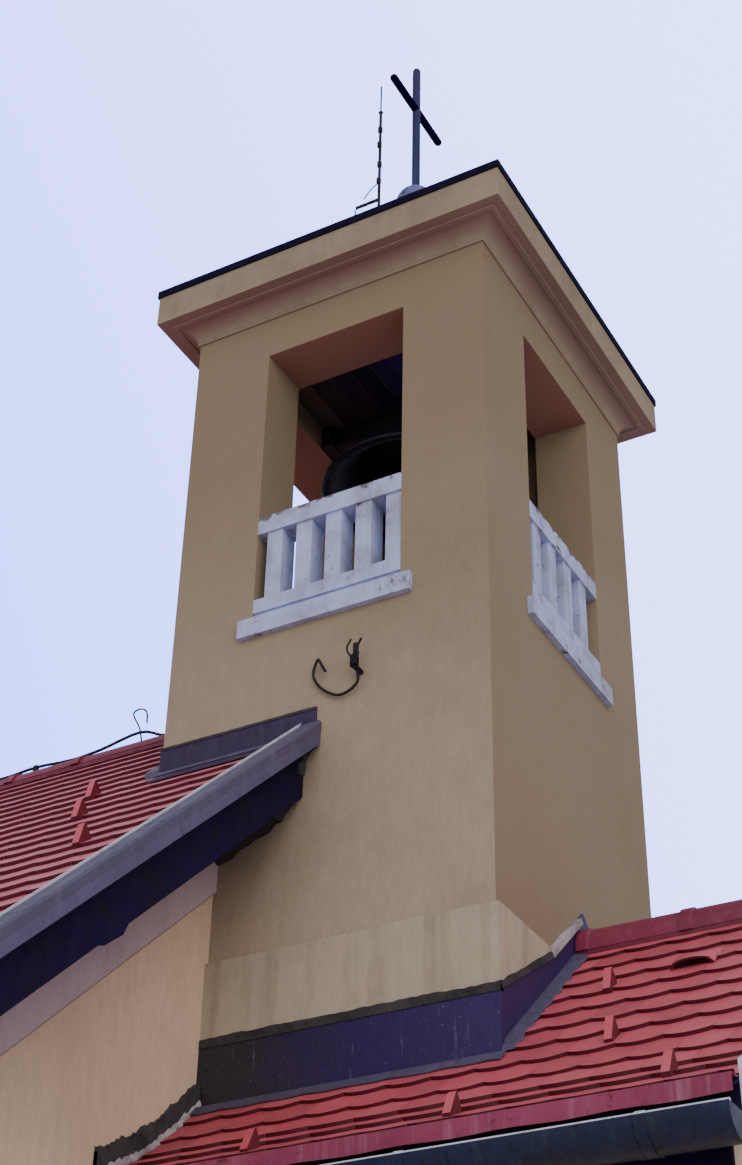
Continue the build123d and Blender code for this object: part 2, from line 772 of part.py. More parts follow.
# Flashing where the nave roof meets the tower, round its front, left and back faces
with BuildPart() as upper_flashing:
    roof_z = nave_surface(tower_face)
    for side in sides.values():
        face_y = side_span(side, tower_face, tower_face + flashing_thickness)
        flashing_x = (tower_left - flashing_thickness, gable_x + verge_lip_reach)
        block(flashing_x, face_y, (roof_z, roof_z + upper_flashing_rise))
    side_apron(nave_surface, tower_left, gable_x + verge_cap_inner)
    for side in sides.values():
        strip_x = (tower_left - flashing_thickness, tower_left)
        roof_band(nave_surface, side, (0, tower_face), 0, upper_flashing_rise, strip_x)
    add(built["nave_verge_caps"], mode=Mode.SUBTRACT)
    add(built["nave_ridge"], mode=Mode.SUBTRACT)
    for side in sides:
        add(built[f"nave_roof_{side}"], mode=Mode.SUBTRACT)
save(upper_flashing, "upper_flashing")

# Flashing where the porch roof meets the tower and the entrance gable
with BuildPart() as lower_flashing:
    roof_z = porch_surface(tower_face)
    for side in sides.values():
        face_y = side_span(side, tower_face, tower_face + render_patch_thickness)
        flashing_x = (gable_x, tower_right + render_patch_thickness)
        block(flashing_x, face_y, (roof_z, roof_z + lower_flashing_rise))
        gable_strip_x = (gable_x, gable_x + gable_flashing_thickness)
        roof_band(porch_surface, side, (tower_face, porch_edge), 0, gable_flashing_rise, gable_strip_x)
        right_strip = [
            *roof_line(porch_surface, side, 0, tower_face),
            (side * tower_face, roof_z + lower_flashing_rise),
            (side * side_flashing_knee, porch_surface(side_flashing_knee) + side_flashing_rise),
            (0, porch_surface(0) + side_flashing_rise),
        ]
        cross_section(right_strip, tower_right, tower_right + flashing_thickness)
        right_apron_x = (tower_right, tower_right + apron_width)
        roof_band(porch_surface, side, (0, tower_face), 0, apron_thickness, right_apron_x)
    side_apron(porch_surface, gable_x, tower_right + apron_width)
    add(built["porch_ridge"], mode=Mode.SUBTRACT)
    add(built["tower_render_patch"], mode=Mode.SUBTRACT)
    for side in sides:
        add(built[f"porch_roof_{side}"], mode=Mode.SUBTRACT)
save(lower_flashing, "lower_flashing")

# Wall hook turned up in front of the wall
hook_x = tower_left + hook_from_corner
with BuildPart() as wall_hook:
    bar_x = (hook_x - hook_bar / 2, hook_x + hook_bar / 2)
    hook_front = -tower_face - hook_reach
    block(bar_x, (hook_front, -tower_face), (hook_height - hook_bar / 2, hook_height + hook_bar / 2))
    block(bar_x, (hook_front, hook_front + hook_bar), (hook_height - hook_bar / 2, hook_height + hook_rise))
save(wall_hook, "wall_hook")
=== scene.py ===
import bpy
import math
import random
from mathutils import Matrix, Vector


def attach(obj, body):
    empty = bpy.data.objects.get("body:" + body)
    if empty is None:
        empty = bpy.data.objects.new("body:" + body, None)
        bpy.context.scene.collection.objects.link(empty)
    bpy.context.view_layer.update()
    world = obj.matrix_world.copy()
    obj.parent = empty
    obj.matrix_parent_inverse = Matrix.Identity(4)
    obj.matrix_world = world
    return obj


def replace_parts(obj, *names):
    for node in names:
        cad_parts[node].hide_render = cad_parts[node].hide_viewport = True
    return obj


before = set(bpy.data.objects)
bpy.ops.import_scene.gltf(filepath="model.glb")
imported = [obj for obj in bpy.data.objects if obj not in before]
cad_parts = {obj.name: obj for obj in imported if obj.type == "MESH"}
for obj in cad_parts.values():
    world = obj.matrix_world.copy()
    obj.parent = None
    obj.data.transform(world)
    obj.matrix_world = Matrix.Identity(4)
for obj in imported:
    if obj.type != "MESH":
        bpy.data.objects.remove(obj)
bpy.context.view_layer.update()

# The building's main lines in metres and degrees, as in the CAD model
building = {
    "towerLeft": 2.225, "towerRight": 3.865, "towerX": 3.045, "face": 0.84,
    "gableX": 2.553, "farGableX": -4.493, "porchEndX": 4.843, "verge": 0.5, "capInner": 0.392,
    "naveRidge": 6.205, "navePitch": 43.2, "naveEdge": 3.35,
    "porchRidge": 4.56, "porchPitch": 41.7, "kick": 1.16, "kickPitch": 31.0, "porchEdge": 1.47, "porchVerge": 0.15,
    "cornice": 8.304, "roofApex": 9.24,
}
b = building
porchEnd = b["porchEndX"] + b["porchVerge"]
naveFall, porchFall, kickFall = (math.tan(math.radians(b[k])) for k in ("navePitch", "porchPitch", "kickPitch"))


def naveAt(y):  # height of the nave's slope at a distance from its middle
    return b["naveRidge"] - abs(y) * naveFall


def porchAt(y):  # the porch's slope is flatter towards its foot
    steep = min(abs(y), b["kick"])
    return b["porchRidge"] - steep * porchFall - (abs(y) - steep) * kickFall


naveLine = [(y, naveAt(y)) for y in (0.0, b["naveEdge"])]
porchLine = [(y, porchAt(y)) for y in (0.0, b["kick"], b["porchEdge"])]


def addObject(name, data):
    made = bpy.data.objects.new(name, data)
    bpy.context.scene.collection.objects.link(made)
    return made


# Camera at the photograph's place
camera = {"place": (6.7456, -6.9189, 1.1810), "turn": (125.2637, -1.0651, 28.9172), "lens": 59.367, "filmHeight": 36.0}


def addCamera(info):
    data = bpy.data.cameras.new("photoCamera")
    data.sensor_fit = "VERTICAL"
    data.sensor_height = info["filmHeight"]
    data.lens = info["lens"]
    made = addObject("photoCamera", data)
    made.location = info["place"]
    made.rotation_euler = [math.radians(v) for v in info["turn"]]
    bpy.context.scene.camera = made


addCamera(camera)
print("camera placed")


# Node helpers. A value may be a number, a colour or another node's output
def feed(tree, socket, value):
    if isinstance(value, bpy.types.NodeSocket):
        tree.links.new(value, socket)
    else:
        socket.default_value = (*value, 1) if socket.type == "RGBA" else value


def put(tree, kind, **values):  # blotchSize=2 sets the socket "Blotch Size"
    made = tree.nodes.new(kind)
    for word, value in values.items():
        label = "".join(" " + c if c.isupper() else c for c in word).title()
        if label in made.inputs:
            feed(tree, made.inputs[label], value)
        else:
            setattr(made, word, value)
    return made


def ramp(tree, source, *stops):
    made = put(tree, "ShaderNodeValToRGB", fac=source)
    cells = made.color_ramp.elements
    while len(cells) < len(stops):
        cells.new(0.5)
    for cell, (position, colour) in zip(cells, stops):
        cell.position = position
        cell.color = (*colour, 1) if isinstance(colour, tuple) else (colour, colour, colour, 1)
    return made.outputs["Color"]


def fade(tree, source, low, high):  # 0 up to low, 1 from high on
    return ramp(tree, source, (low, 0.0), (high, 1.0))


def blend(tree, factor, first, second, mode="MIX"):
    made = put(tree, "ShaderNodeMix", data_type="RGBA", blend_type=mode)
    for index, value in ((0, factor), (6, first), (7, second)):
        feed(tree, made.inputs[index], value)
    return made.outputs[2]


def calc(tree, first, sign, second):
    operation = {"+": "ADD", "-": "SUBTRACT", "*": "MULTIPLY", "max": "MAXIMUM"}[sign]
    made = put(tree, "ShaderNodeMath", operation=operation)
    feed(tree, made.inputs[0], first)
    feed(tree, made.inputs[1], second)
    return made.outputs["Value"]


def coordinates(tree, kind="Object"):
    return put(tree, "ShaderNodeTexCoord").outputs[kind]


def axisOf(tree, vector, axis):
    return put(tree, "ShaderNodeSeparateXYZ", vector=vector).outputs[axis]


def facing(tree, axis):
    return axisOf(tree, put(tree, "ShaderNodeNewGeometry").outputs["Normal"], axis)


def toneOf(tree):  # each tile and board carries a tone of its own
    return put(tree, "ShaderNodeAttribute", attribute_name="tone").outputs["Fac"]


def noise(tree, vector, scale, detail, rough, stretch=None):
    if stretch:
        vector = put(tree, "ShaderNodeMapping", vector=vector, scale=stretch).outputs["Vector"]
    return put(tree, "ShaderNodeTexNoise", vector=vector, scale=scale, detail=detail, roughness=rough).outputs["Fac"]


# Soft daylight from a pale sky: a broad, faint sun and a low fill
light = {
    "sky": (0.70, 0.75, 0.92), "skyStrength": 0.82, "sunColour": (1.0, 0.96, 0.9),
    "seenSky": (1.12, 1.55, 6.0), "paleSky": (2.4, 2.9, 6.0), "paleShift": 0.62, "paleFade": 1.9,  # paler to the right
    "suns": {"softSun": ((60, 0, 24), 0.60, 50.0), "lowFill": ((87, 0, 48), 1.0, 50.0)},  # turn, strength, size
}


def addLight(info):
    world = bpy.data.worlds.new("paleSky")
    bpy.context.scene.world = world
    world.use_nodes = True
    tree = world.node_tree
    tree.nodes.clear()
    toRight = calc(tree, axisOf(tree, coordinates(tree, "Generated"), "X"), "+", info["paleShift"])
    paler = fade(tree, calc(tree, toRight, "*", info["paleFade"]), 0.0, 1.0)
    shade = put(tree, "ShaderNodeBackground", color=info["sky"], strength=info["skyStrength"])
    seen = put(tree, "ShaderNodeBackground", color=blend(tree, paler, info["seenSky"], info["paleSky"]), strength=1.0)
    mix = tree.nodes.new("ShaderNodeMixShader")
    sources = (put(tree, "ShaderNodeLightPath").outputs["Is Camera Ray"], shade.outputs[0], seen.outputs[0])
    for socket, source in zip(mix.inputs, sources):
        tree.links.new(source, socket)
    tree.links.new(mix.outputs[0], tree.nodes.new("ShaderNodeOutputWorld").inputs["Surface"])
    for name, (turn, strength, size) in info["suns"].items():
        sun = bpy.data.lights.new(name, "SUN")
        sun.energy = strength
        sun.angle = math.radians(size)
        sun.color = info["sunColour"]
        addObject(name, sun).rotation_euler = [math.radians(v) for v in turn]


addLight(light)
print("light set")


# Effects that several materials share are node groups. A tuple stands for a colour input
def newGroup(name, inputs, *outputs):
    group = bpy.data.node_groups.new(name, "ShaderNodeTree")
    for label, value in inputs.items():
        kind = "NodeSocketColor" if isinstance(value, tuple) else "NodeSocketFloat"
        socket = group.interface.new_socket(label, in_out="INPUT", socket_type=kind)
        socket.default_value = (*value, 1) if isinstance(value, tuple) else value
    for label in outputs:
        kind = "NodeSocketColor" if label == "Color" else "NodeSocketFloat"
        group.interface.new_socket(label, in_out="OUTPUT", socket_type=kind)
    return group, group.nodes.new("NodeGroupInput").outputs, group.nodes.new("NodeGroupOutput").inputs


midGrey, darkGrey = (0.5, 0.5, 0.5), (0.2, 0.2, 0.2)


# Rain stains: broad blotches and thin runs down the wall, laid over a clean colour
def makeStains():
    group, into, out = newGroup("rainStains", {
        "Clean": midGrey, "Stain": darkGrey, "Blotch Size": 1.2, "Blotches": 0.5, "Runs": 0.3, "Mottle": 0.0,
    }, "Color", "Mask")
    where = coordinates(group)
    blotch = fade(group, noise(group, where, into["Blotch Size"], 6.0, 0.6), 0.42, 0.66)
    runs = fade(group, noise(group, where, 1.0, 5.0, 0.6, (9.0, 9.0, 0.45)), 0.5, 0.72)
    speck = fade(group, noise(group, where, 38.0, 3.0, 0.7), 0.35, 0.75)
    both = calc(group, calc(group, blotch, "*", into["Blotches"]), "+", calc(group, runs, "*", into["Runs"]))
    broken = calc(group, both, "*", calc(group, calc(group, speck, "*", 0.5), "+", 0.7))
    mask = put(group, "ShaderNodeClamp", value=broken).outputs["Result"]
    mottling = ramp(group, noise(group, where, 1.0, 9.0, 0.78, (24.0, 24.0, 9.0)), (0.32, 0.72), (0.66, 1.0))
    stained = blend(group, mask, into["Clean"], into["Stain"])
    feed(group, out["Color"], blend(group, into["Mottle"], stained, mottling, "MULTIPLY"))
    feed(group, out["Mask"], mask)
    return group


# Painted shade and reddish bounce light from the tiles, with some grime, on everything that faces down, as under the
# cornice and the lintels
def makeUnderside():
    group, into, out = newGroup("undersideGrimeAndShade", {"Color": midGrey, "Soot": (0.2, 0.1, 0.08), "Amount": 0.8}, "Color")
    down = fade(group, calc(group, facing(group, "Z"), "*", -1.0), 0.3, 0.97)
    feed(group, out["Color"], blend(group, calc(group, down, "*", into["Amount"]), into["Color"], into["Soot"]))
    return group


# Fine relief that all the surfaces share
def makeGrain():
    group, into, out = newGroup("fineGrain", {"Size": 60.0, "Waves": 0.4}, "Height")
    where = coordinates(group)
    slow = calc(group, noise(group, where, 2.6, 3.0, 0.5), "*", into["Waves"])
    feed(group, out["Height"], calc(group, noise(group, where, into["Size"], 8.0, 0.65), "+", slow))
    return group


# Chips and scratches that show what lies under a coat of paint
def makeChips():
    group, into, out = newGroup("paintChips", {
        "Paint": midGrey, "Under": darkGrey, "Size": 14.0, "Start": 0.62,
    }, "Color", "Mask")
    over = calc(group, noise(group, coordinates(group), into["Size"], 9.0, 0.72), "-", into["Start"])
    mask = put(group, "ShaderNodeClamp", value=calc(group, over, "*", 22.0)).outputs["Result"]
    feed(group, out["Color"], blend(group, mask, into["Paint"], into["Under"]))
    feed(group, out["Mask"], mask)
    return group


stains, soot, grain, chips = makeStains(), makeUnderside(), makeGrain(), makeChips()
materials = {}


def place(tree, group, **values):
    return put(tree, "ShaderNodeGroup", node_tree=group, **values).outputs


def startMaterial(name, roughness, metallic=0.0, shine=0.5):
    made = bpy.data.materials.new(name)
    made.use_nodes = True
    surface = made.node_tree.nodes["Principled BSDF"]
    surface.inputs["Roughness"].default_value = roughness
    surface.inputs["Metallic"].default_value = metallic
    surface.inputs["Specular IOR Level"].default_value = shine
    materials[name] = made
    return made.node_tree, surface


def finishSurface(tree, surface, colour, grainSize, waves, strength, depth, cut=None):
    height = place(tree, grain, size=grainSize, waves=waves)["Height"]
    if cut is not None:
        height = calc(tree, height, "-", cut)
    bump = put(tree, "ShaderNodeBump", height=height, strength=strength, distance=depth)
    feed(tree, surface.inputs["Base Color"], colour)
    feed(tree, surface.inputs["Normal"], bump.outputs["Normal"])


# Plasters, render, concrete and mortar: blotch is the stains' size, blotches, runs and relief how strong they are
brownGrimeAndShade = (0.3, 0.14, 0.1)
plaster = {
    "towerPlaster": {"clean": (0.49, 0.38, 0.27), "stain": (0.33, 0.24, 0.155), "soot": (0.34, 0.14, 0.105),
                     "blotch": 0.9, "blotches": 0.6, "runs": 0.12, "relief": 0.5,
                     "upper": (0.245, 0.171, 0.097), "upperFrom": (4.3, 7.0), "upperMost": 0.86, "rightSide": 0.75},
    "navePlaster": {"clean": (0.84, 0.60, 0.40), "stain": (0.60, 0.44, 0.28), "soot": brownGrimeAndShade,
                    "blotch": 0.8, "blotches": 0.45, "runs": 0.2, "relief": 0.35},
    "newRender": {"clean": (0.52, 0.43, 0.31), "stain": (0.31, 0.245, 0.165), "soot": brownGrimeAndShade,
                  "blotch": 2.0, "blotches": 0.25, "runs": 0.75, "relief": 0.2},
    "cornicePlaster": {"clean": (0.36, 0.27, 0.18), "stain": (0.21, 0.145, 0.09), "soot": (0.285, 0.155, 0.14),
                       "blotch": 1.6, "blotches": 0.6, "runs": 0.2, "relief": 0.4},
    "friezePaint": {"clean": (0.59, 0.45, 0.45), "stain": (0.36, 0.26, 0.25), "soot": (0.2, 0.1, 0.09),
                    "blotch": 2.4, "blotches": 0.5, "runs": 0.2, "relief": 0.3},
    "concrete": {"clean": (0.30, 0.27, 0.24), "stain": (0.15, 0.13, 0.12), "soot": (0.12, 0.075, 0.06),
                 "blotch": 2.2, "blotches": 0.6, "runs": 0.4, "relief": 0.8},
    "roughMortar": {"clean": (0.075, 0.068, 0.068), "stain": (0.025, 0.022, 0.024), "soot": (0.04, 0.03, 0.03),
                    "blotch": 7.0, "blotches": 0.9, "runs": 0.1, "relief": 1.0},
}
plaster["paleMortar"] = {**plaster["roughMortar"], "clean": (0.52, 0.46, 0.46), "stain": (0.20, 0.14, 0.14)}


def makePlaster(name, info):
    tree, surface = startMaterial(name, 0.9, shine=0.2)
    colour = place(tree, stains, clean=info["clean"], stain=info["stain"], blotchSize=info["blotch"],
                   blotches=info["blotches"], runs=info["runs"], mottle=0.6)["Color"]
    if "upper" in info:  # paler low down and browner towards the top: the pale low part is painted light against the shade under the verge, and the side that faces the porch takes the browner colour as painted shade
        low, high = info["upperFrom"]
        rising = put(tree, "ShaderNodeMapRange", value=axisOf(tree, coordinates(tree), "Z"), fromMin=low, fromMax=high,
                     toMax=info["upperMost"]).outputs["Result"]
        sided = calc(tree, calc(tree, facing(tree, "X"), "*", info["rightSide"]), "max", rising)
        colour = blend(tree, sided, colour, info["upper"])
    # Faces that look down take painted shade and bounce light, with some grime
    grimedAndShaded = place(tree, soot, color=colour, soot=info["soot"], amount=0.85)
    finishSurface(tree, surface, grimedAndShaded["Color"], 70.0, 0.5, info["relief"], 0.006)


for name, info in plaster.items():
    makePlaster(name, info)

# White paint on concrete, dirty, and chipped more above a height: height over the datum, and where chips start
paint = {"paint": (0.51, 0.56, 0.82), "under": (0.13, 0.10, 0.095), "dirt": (0.26, 0.23, 0.26),
         "datum": 6.0, "below": (0.668, 0.61), "above": (0.698, 0.49)}


def makePaintedConcrete(info):
    tree, surface = startMaterial("paintedConcrete", 0.75)
    height = calc(tree, axisOf(tree, coordinates(tree), "Z"), "-", info["datum"])
    sound = ramp(tree, height, info["below"], info["above"])
    coat = place(tree, chips, start=sound, paint=info["paint"], under=info["under"], size=11.0)
    worn = place(tree, stains, clean=coat["Color"], stain=info["dirt"], blotchSize=5.0, blotches=0.6, runs=0.45,
                 mottle=0.6)
    finishSurface(tree, surface, worn["Color"], 45.0, 0.2, 0.45, 0.004, coat["Mask"])


makePaintedConcrete(paint)

# Clay tiles: each has a tone of its own between dark and light, with a pale bloom as strong as its dust; the bloom is
# partly dust and partly a painted sheen
clay = {
    "clayTiles": {"dark": (0.36, 0.06, 0.08), "middle": (0.60, 0.115, 0.145), "light": (0.76, 0.21, 0.25),
                  "bloomAndSheen": (0.74, 0.44, 0.48), "dust": 0.45, "under": (0.085, 0.003, 0.012)},
    "porchClay": {"middle": (0.58, 0.085, 0.11), "light": (0.72, 0.15, 0.18), "bloomAndSheen": (0.70, 0.33, 0.37), "dust": 0.2},
    "ridgeClay": {"dark": (0.13, 0.008, 0.03), "middle": (0.20, 0.013, 0.045), "light": (0.27, 0.03, 0.07),
                  "dust": 0.12},
    "shadedClay": {"dark": (0.09, 0.006, 0.012), "middle": (0.13, 0.012, 0.02), "light": (0.17, 0.02, 0.03),
                   "dust": 0.05},
}


def makeClay(name, info):
    tree, surface = startMaterial(name, 0.5)
    where = coordinates(tree)
    patch = calc(tree, noise(tree, where, 9.0, 6.0, 0.65), "*", 0.62)
    mixed = calc(tree, calc(tree, toneOf(tree), "*", 0.35), "+", patch)
    base = ramp(tree, mixed, (0.12, info["dark"]), (0.45, info["middle"]), (0.95, info["light"]))
    # Pale spots that are partly dust and partly a painted sheen
    dustAndSheenSpots = fade(tree, noise(tree, where, 26.0, 8.0, 0.75), 0.5, 0.8)
    withDustAndSheen = blend(tree, calc(tree, dustAndSheenSpots, "*", info["dust"]), base, info["bloomAndSheen"])
    # Faces that look down, such as the tiles' tails, take a near-black red: painted shade under each course
    shaded = place(tree, soot, color=withDustAndSheen, soot=info["under"], amount=8.0)
    finishSurface(tree, surface, shaded["Color"], 120.0, 0.3, 0.35, 0.002)


for name, change in clay.items():
    makeClay(name, {**clay["clayTiles"], **change})

# Sooty boards of the belfry's ceiling, purple-brown to the left and blue-black to the right: this gradient is painted
# light and shade, the left lit a little and the right in deep shade, and the dark patches are soot
ceilingShadeAndSoot = {"left": (0.11, 0.058, 0.062), "middle": (0.045, 0.026, 0.070), "right": (0.024, 0.012, 0.19),
                "soot": (0.006, 0.004, 0.020), "leftX": 2.5}


def makeCeilingShadeAndSoot(info):
    tree, surface = startMaterial("ceilingShadeAndSoot", 0.9, shine=0.15)
    where = coordinates(tree)
    across = calc(tree, axisOf(tree, where, "X"), "-", info["leftX"])
    # Painted light to the left, painted deep shade to the right
    base = ramp(tree, across, (0.05, info["left"]), (0.45, info["middle"]), (0.8, info["right"]))
    perBoard = calc(tree, calc(tree, toneOf(tree), "*", 1.6), "+", 0.4)
    patchy = calc(tree, noise(tree, where, 6.0, 5.0, 0.7, (1.0, 0.25, 1.0)), "*", perBoard)
    finishSurface(tree, surface, blend(tree, patchy, info["soot"], base), 40.0, 0.4, 0.5, 0.004)


makeCeilingShadeAndSoot(ceilingShadeAndSoot)

# Sheet metals, painted boards, iron and bronze: coat, worn coat and streak, then how rough, metallic and shiny
metals = {
    "darkSheet": ((0.036, 0.014, 0.062), (0.014, 0.009, 0.022), (0.07, 0.045, 0.10), 0.6, 0.1, 0.5),
    "roofSheet": ((0.007, 0.004, 0.020), (0.012, 0.009, 0.022), (0.020, 0.016, 0.040), 0.75, 0.0, 0.05),
    "vergeSheet": ((0.098, 0.082, 0.140), (0.080, 0.066, 0.105), (0.19, 0.17, 0.25), 0.5, 0.1, 0.35),
    "paleSheet": ((0.78, 0.75, 0.82), (0.45, 0.42, 0.48), (0.9, 0.88, 0.95), 0.45, 0.1, 0.5),
    "purpleSheet": ((0.12, 0.098, 0.19), (0.075, 0.060, 0.12), (0.17, 0.14, 0.25), 0.5, 0.2, 0.5),
    "redSheet": ((0.34, 0.058, 0.115), (0.20, 0.028, 0.06), (0.56, 0.26, 0.34), 0.7, 0.0, 0.25),
    "gutterSheet": ((0.014, 0.020, 0.060), (0.010, 0.011, 0.018), (0.06, 0.07, 0.10), 0.38, 0.4, 0.5),
    "boardPaint": ((0.009, 0.003, 0.038), (0.012, 0.010, 0.012), (0.020, 0.014, 0.045), 0.75, 0.0, 0.15),
    "blueSteel": ((0.022, 0.022, 0.095), (0.020, 0.018, 0.035), (0.06, 0.07, 0.16), 0.55, 0.0, 0.25),
    # The cross's bar and ball: painted shade and painted light
    "shadedBarSteel": ((0.003, 0.003, 0.028), (0.002, 0.002, 0.010), (0.005, 0.005, 0.035), 0.85, 0.0, 0.0),
    "litBallSteel": ((0.13, 0.135, 0.32), (0.06, 0.055, 0.10), (0.19, 0.20, 0.40), 0.5, 0.1, 0.4),
    "bellBronze": ((0.022, 0.016, 0.026), (0.035, 0.028, 0.030), (0.055, 0.055, 0.065), 0.48, 0.75, 0.5),
    "darkIron": ((0.022, 0.019, 0.022), (0.055, 0.028, 0.016), (0.04, 0.035, 0.035), 0.62, 0.6, 0.5),
    "doorStain": ((0.085, 0.042, 0.024), (0.045, 0.024, 0.016), (0.14, 0.075, 0.045), 0.6, 0.0, 0.5),
}


def makeMetal(name, coat, worn, streak, rough, metal, shine):
    tree, surface = startMaterial(name, rough, metal, shine)
    where = coordinates(tree)
    chipped = place(tree, chips, paint=coat, under=worn, size=17.0, start=0.57)["Color"]
    stained = place(tree, stains, clean=chipped, stain=worn, blotchSize=3.2, blotches=0.5, runs=0.2)["Color"]
    streaks = fade(tree, noise(tree, where, 1.0, 6.0, 0.7, (22.0, 22.0, 1.6)), 0.52, 0.78)
    colour = blend(tree, calc(tree, streaks, "*", 0.55), stained, streak)
    gloss = ramp(tree, noise(tree, where, 12.0, 4.0, 0.6), (0.3, rough - 0.08), (0.8, rough + 0.22))
    feed(tree, surface.inputs["Roughness"], gloss)
    finishSurface(tree, surface, colour, 30.0, 1.2, 0.3, 0.004)


for name, row in metals.items():
    makeMetal(name, *row)

# The lower flashing: black tar to the left, violet sheet to the right, with white runs of lime
tarred = {"tar": (0.030, 0.028, 0.034), "sheet": (0.034, 0.016, 0.094), "lime": (0.36, 0.34, 0.42), "split": 2.98,
          "soft": 0.22}


def makeTarredSheet(info):
    tree, surface = startMaterial("tarredSheet", 0.5, 0.2)
    where = coordinates(tree)
    wander = calc(tree, calc(tree, noise(tree, where, 4.0, 6.0, 0.7), "-", 0.5), "*", 0.9)
    part = put(tree, "ShaderNodeMapRange", value=calc(tree, axisOf(tree, where, "X"), "+", wander),
               fromMin=info["split"] - info["soft"], fromMax=info["split"] + info["soft"]).outputs["Result"]
    runs = fade(tree, noise(tree, where, 1.0, 7.0, 0.75, (34.0, 34.0, 3.2)), 0.60, 0.80)
    specks = fade(tree, noise(tree, where, 75.0, 4.0, 0.75), 0.66, 0.72)
    limed = calc(tree, calc(tree, runs, "*", 0.75), "max", calc(tree, specks, "*", 0.8))
    colour = blend(tree, limed, blend(tree, part, info["tar"], info["sheet"]), info["lime"])
    finishSurface(tree, surface, colour, 26.0, 1.4, 0.5, 0.006)


makeTarredSheet(tarred)
print("materials made:", len(materials))

# The CAD nodes take these finishes
finishes = {
    "towerPlaster": "tower_front_wall tower_right_wall tower_back_wall tower_left_wall",
    "newRender": "tower_render_patch",
    "concrete": "belfry_floor belfry_ceiling porch_slab",
    "cornicePlaster": "tower_cornice",
    "navePlaster": "nave_front_wall nave_back_wall entrance_gable_front entrance_gable_back far_gable_wall "
                   "porch_front_wall porch_back_wall porch_end_wall_front porch_end_wall_back porch_end_wall_over_door",
    "friezePaint": "nave_friezes",
    "boardPaint": "nave_roof_front nave_roof_back nave_barge_boards nave_verge_soffits "
                  "porch_roof_front porch_roof_back",
    "vergeSheet": "nave_verge_caps",
    "paleSheet": "porch_barge_boards",
    "ridgeClay": "nave_ridge porch_ridge",
    "darkSheet": "upper_flashing",
    "roofSheet": "tower_roof",
    "tarredSheet": "lower_flashing",
    "gutterSheet": "gutters",
    "blueSteel": "cross",
    "darkIron": "lightning_rod bell_yoke bell_clapper bell_bearings wall_hook",
    "doorStain": "door_frame door",
    "paintedConcrete": "belfry_sills balustrades",
    "bellBronze": "bell",
}
dressed = 0
for finish, nodes in finishes.items():
    for node in nodes.split():
        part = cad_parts[node]
        for cell in part.material_slots:
            cell.material = materials[finish]
        if not part.material_slots:
            part.data.materials.append(materials[finish])
        dressed += 1
print("CAD nodes dressed:", dressed)


# Mesh helpers. A shape is a list of points and a list of faces, and each helper adds a closed solid to it
def newShape():
    return [], []


def addBox(shape, xs, ys, zs, side=1):  # side -1 puts it on the other side of the middle
    points, faces = shape
    at = len(points)
    points += [Vector((x, y, z)) for x in xs for y in sorted(side * y for y in ys) for z in zs]
    for face in ((0, 1, 3, 2), (4, 6, 7, 5), (0, 4, 5, 1), (2, 3, 7, 6), (0, 2, 6, 4), (1, 5, 7, 3)):
        faces.append([at + i for i in face])


def addLoft(shape, rings, flip=False):  # joins each ring to the next and caps the two ends
    points, faces = shape
    rings = rings[::-1] if flip else rings
    at, size = len(points), len(rings[0])
    points += [Vector(p) for ring in rings for p in ring]
    for i in range(at, at + (len(rings) - 1) * size, size):
        for j in range(size):
            k = (j + 1) % size
            faces.append([i + j, i + k, i + size + k, i + size + j])
    faces.append([at + j for j in reversed(range(size))])
    faces.append([at + (len(rings) - 1) * size + j for j in range(size)])


def addLoop(shape, rings):  # joins the last ring to the first
    points, faces = shape
    at, size = len(points), len(rings[0])
    points += [Vector(p) for ring in rings for p in ring]
    for i in range(len(rings)):
        this, following = at + i * size, at + (i + 1) % len(rings) * size
        for j in range(size):
            k = (j + 1) % size
            faces.append([this + j, following + j, following + k, this + k])


def addLathe(shape, outline, centre, steps):
    turns = [2 * math.pi * i / steps for i in range(steps)]
    addLoop(shape, [[(centre[0] + r * math.cos(t), centre[1] + r * math.sin(t), z) for r, z in outline] for t in turns])


def addTube(shape, path, radius, sides=8):
    path = [Vector(p) for p in path]
    rings, side = [], None
    for i, point in enumerate(path):
        along = (path[min(i + 1, len(path) - 1)] - path[max(i - 1, 0)]).normalized()
        if side is None:
            side = along.cross(Vector((0, 0, 1)) if abs(along.z) < 0.9 else Vector((1, 0, 0))).normalized()
        side = (side - along * side.dot(along)).normalized()
        other = along.cross(side)
        size = radius[i] if isinstance(radius, list) else radius
        turns = [2 * math.pi * k / sides for k in range(sides)]
        rings.append([point + size * (math.cos(t) * side + math.sin(t) * other) for t in turns])
    addLoft(shape, rings)


def smoothPath(points, count=6):  # a curve through all the points
    out = []
    points = [Vector(p) for p in points]
    padded = [2 * points[0] - points[1]] + points + [2 * points[-1] - points[-2]]
    for i in range(1, len(padded) - 2):
        p0, p1, p2, p3 = padded[i - 1:i + 3]
        for t in (k / count for k in range(count)):
            out.append(0.5 * ((2 * p1) + (p2 - p0) * t + (2 * p0 - 5 * p1 + 4 * p2 - p3) * t * t
                              + (3 * p1 - p0 - 3 * p2 + p3) * t ** 3))
    return out + [points[-1]]


def section(x, y, z, offsets):  # one ring of a run: each offset is across and up
    return [(x + across, y, z + up) for across, up in offsets]


def soften(piece, width, angle=30.0):
    edges = piece.modifiers.new("softEdges", "BEVEL")
    edges.width = width
    edges.segments = 2
    edges.limit_method = "ANGLE"
    edges.angle_limit = math.radians(angle)


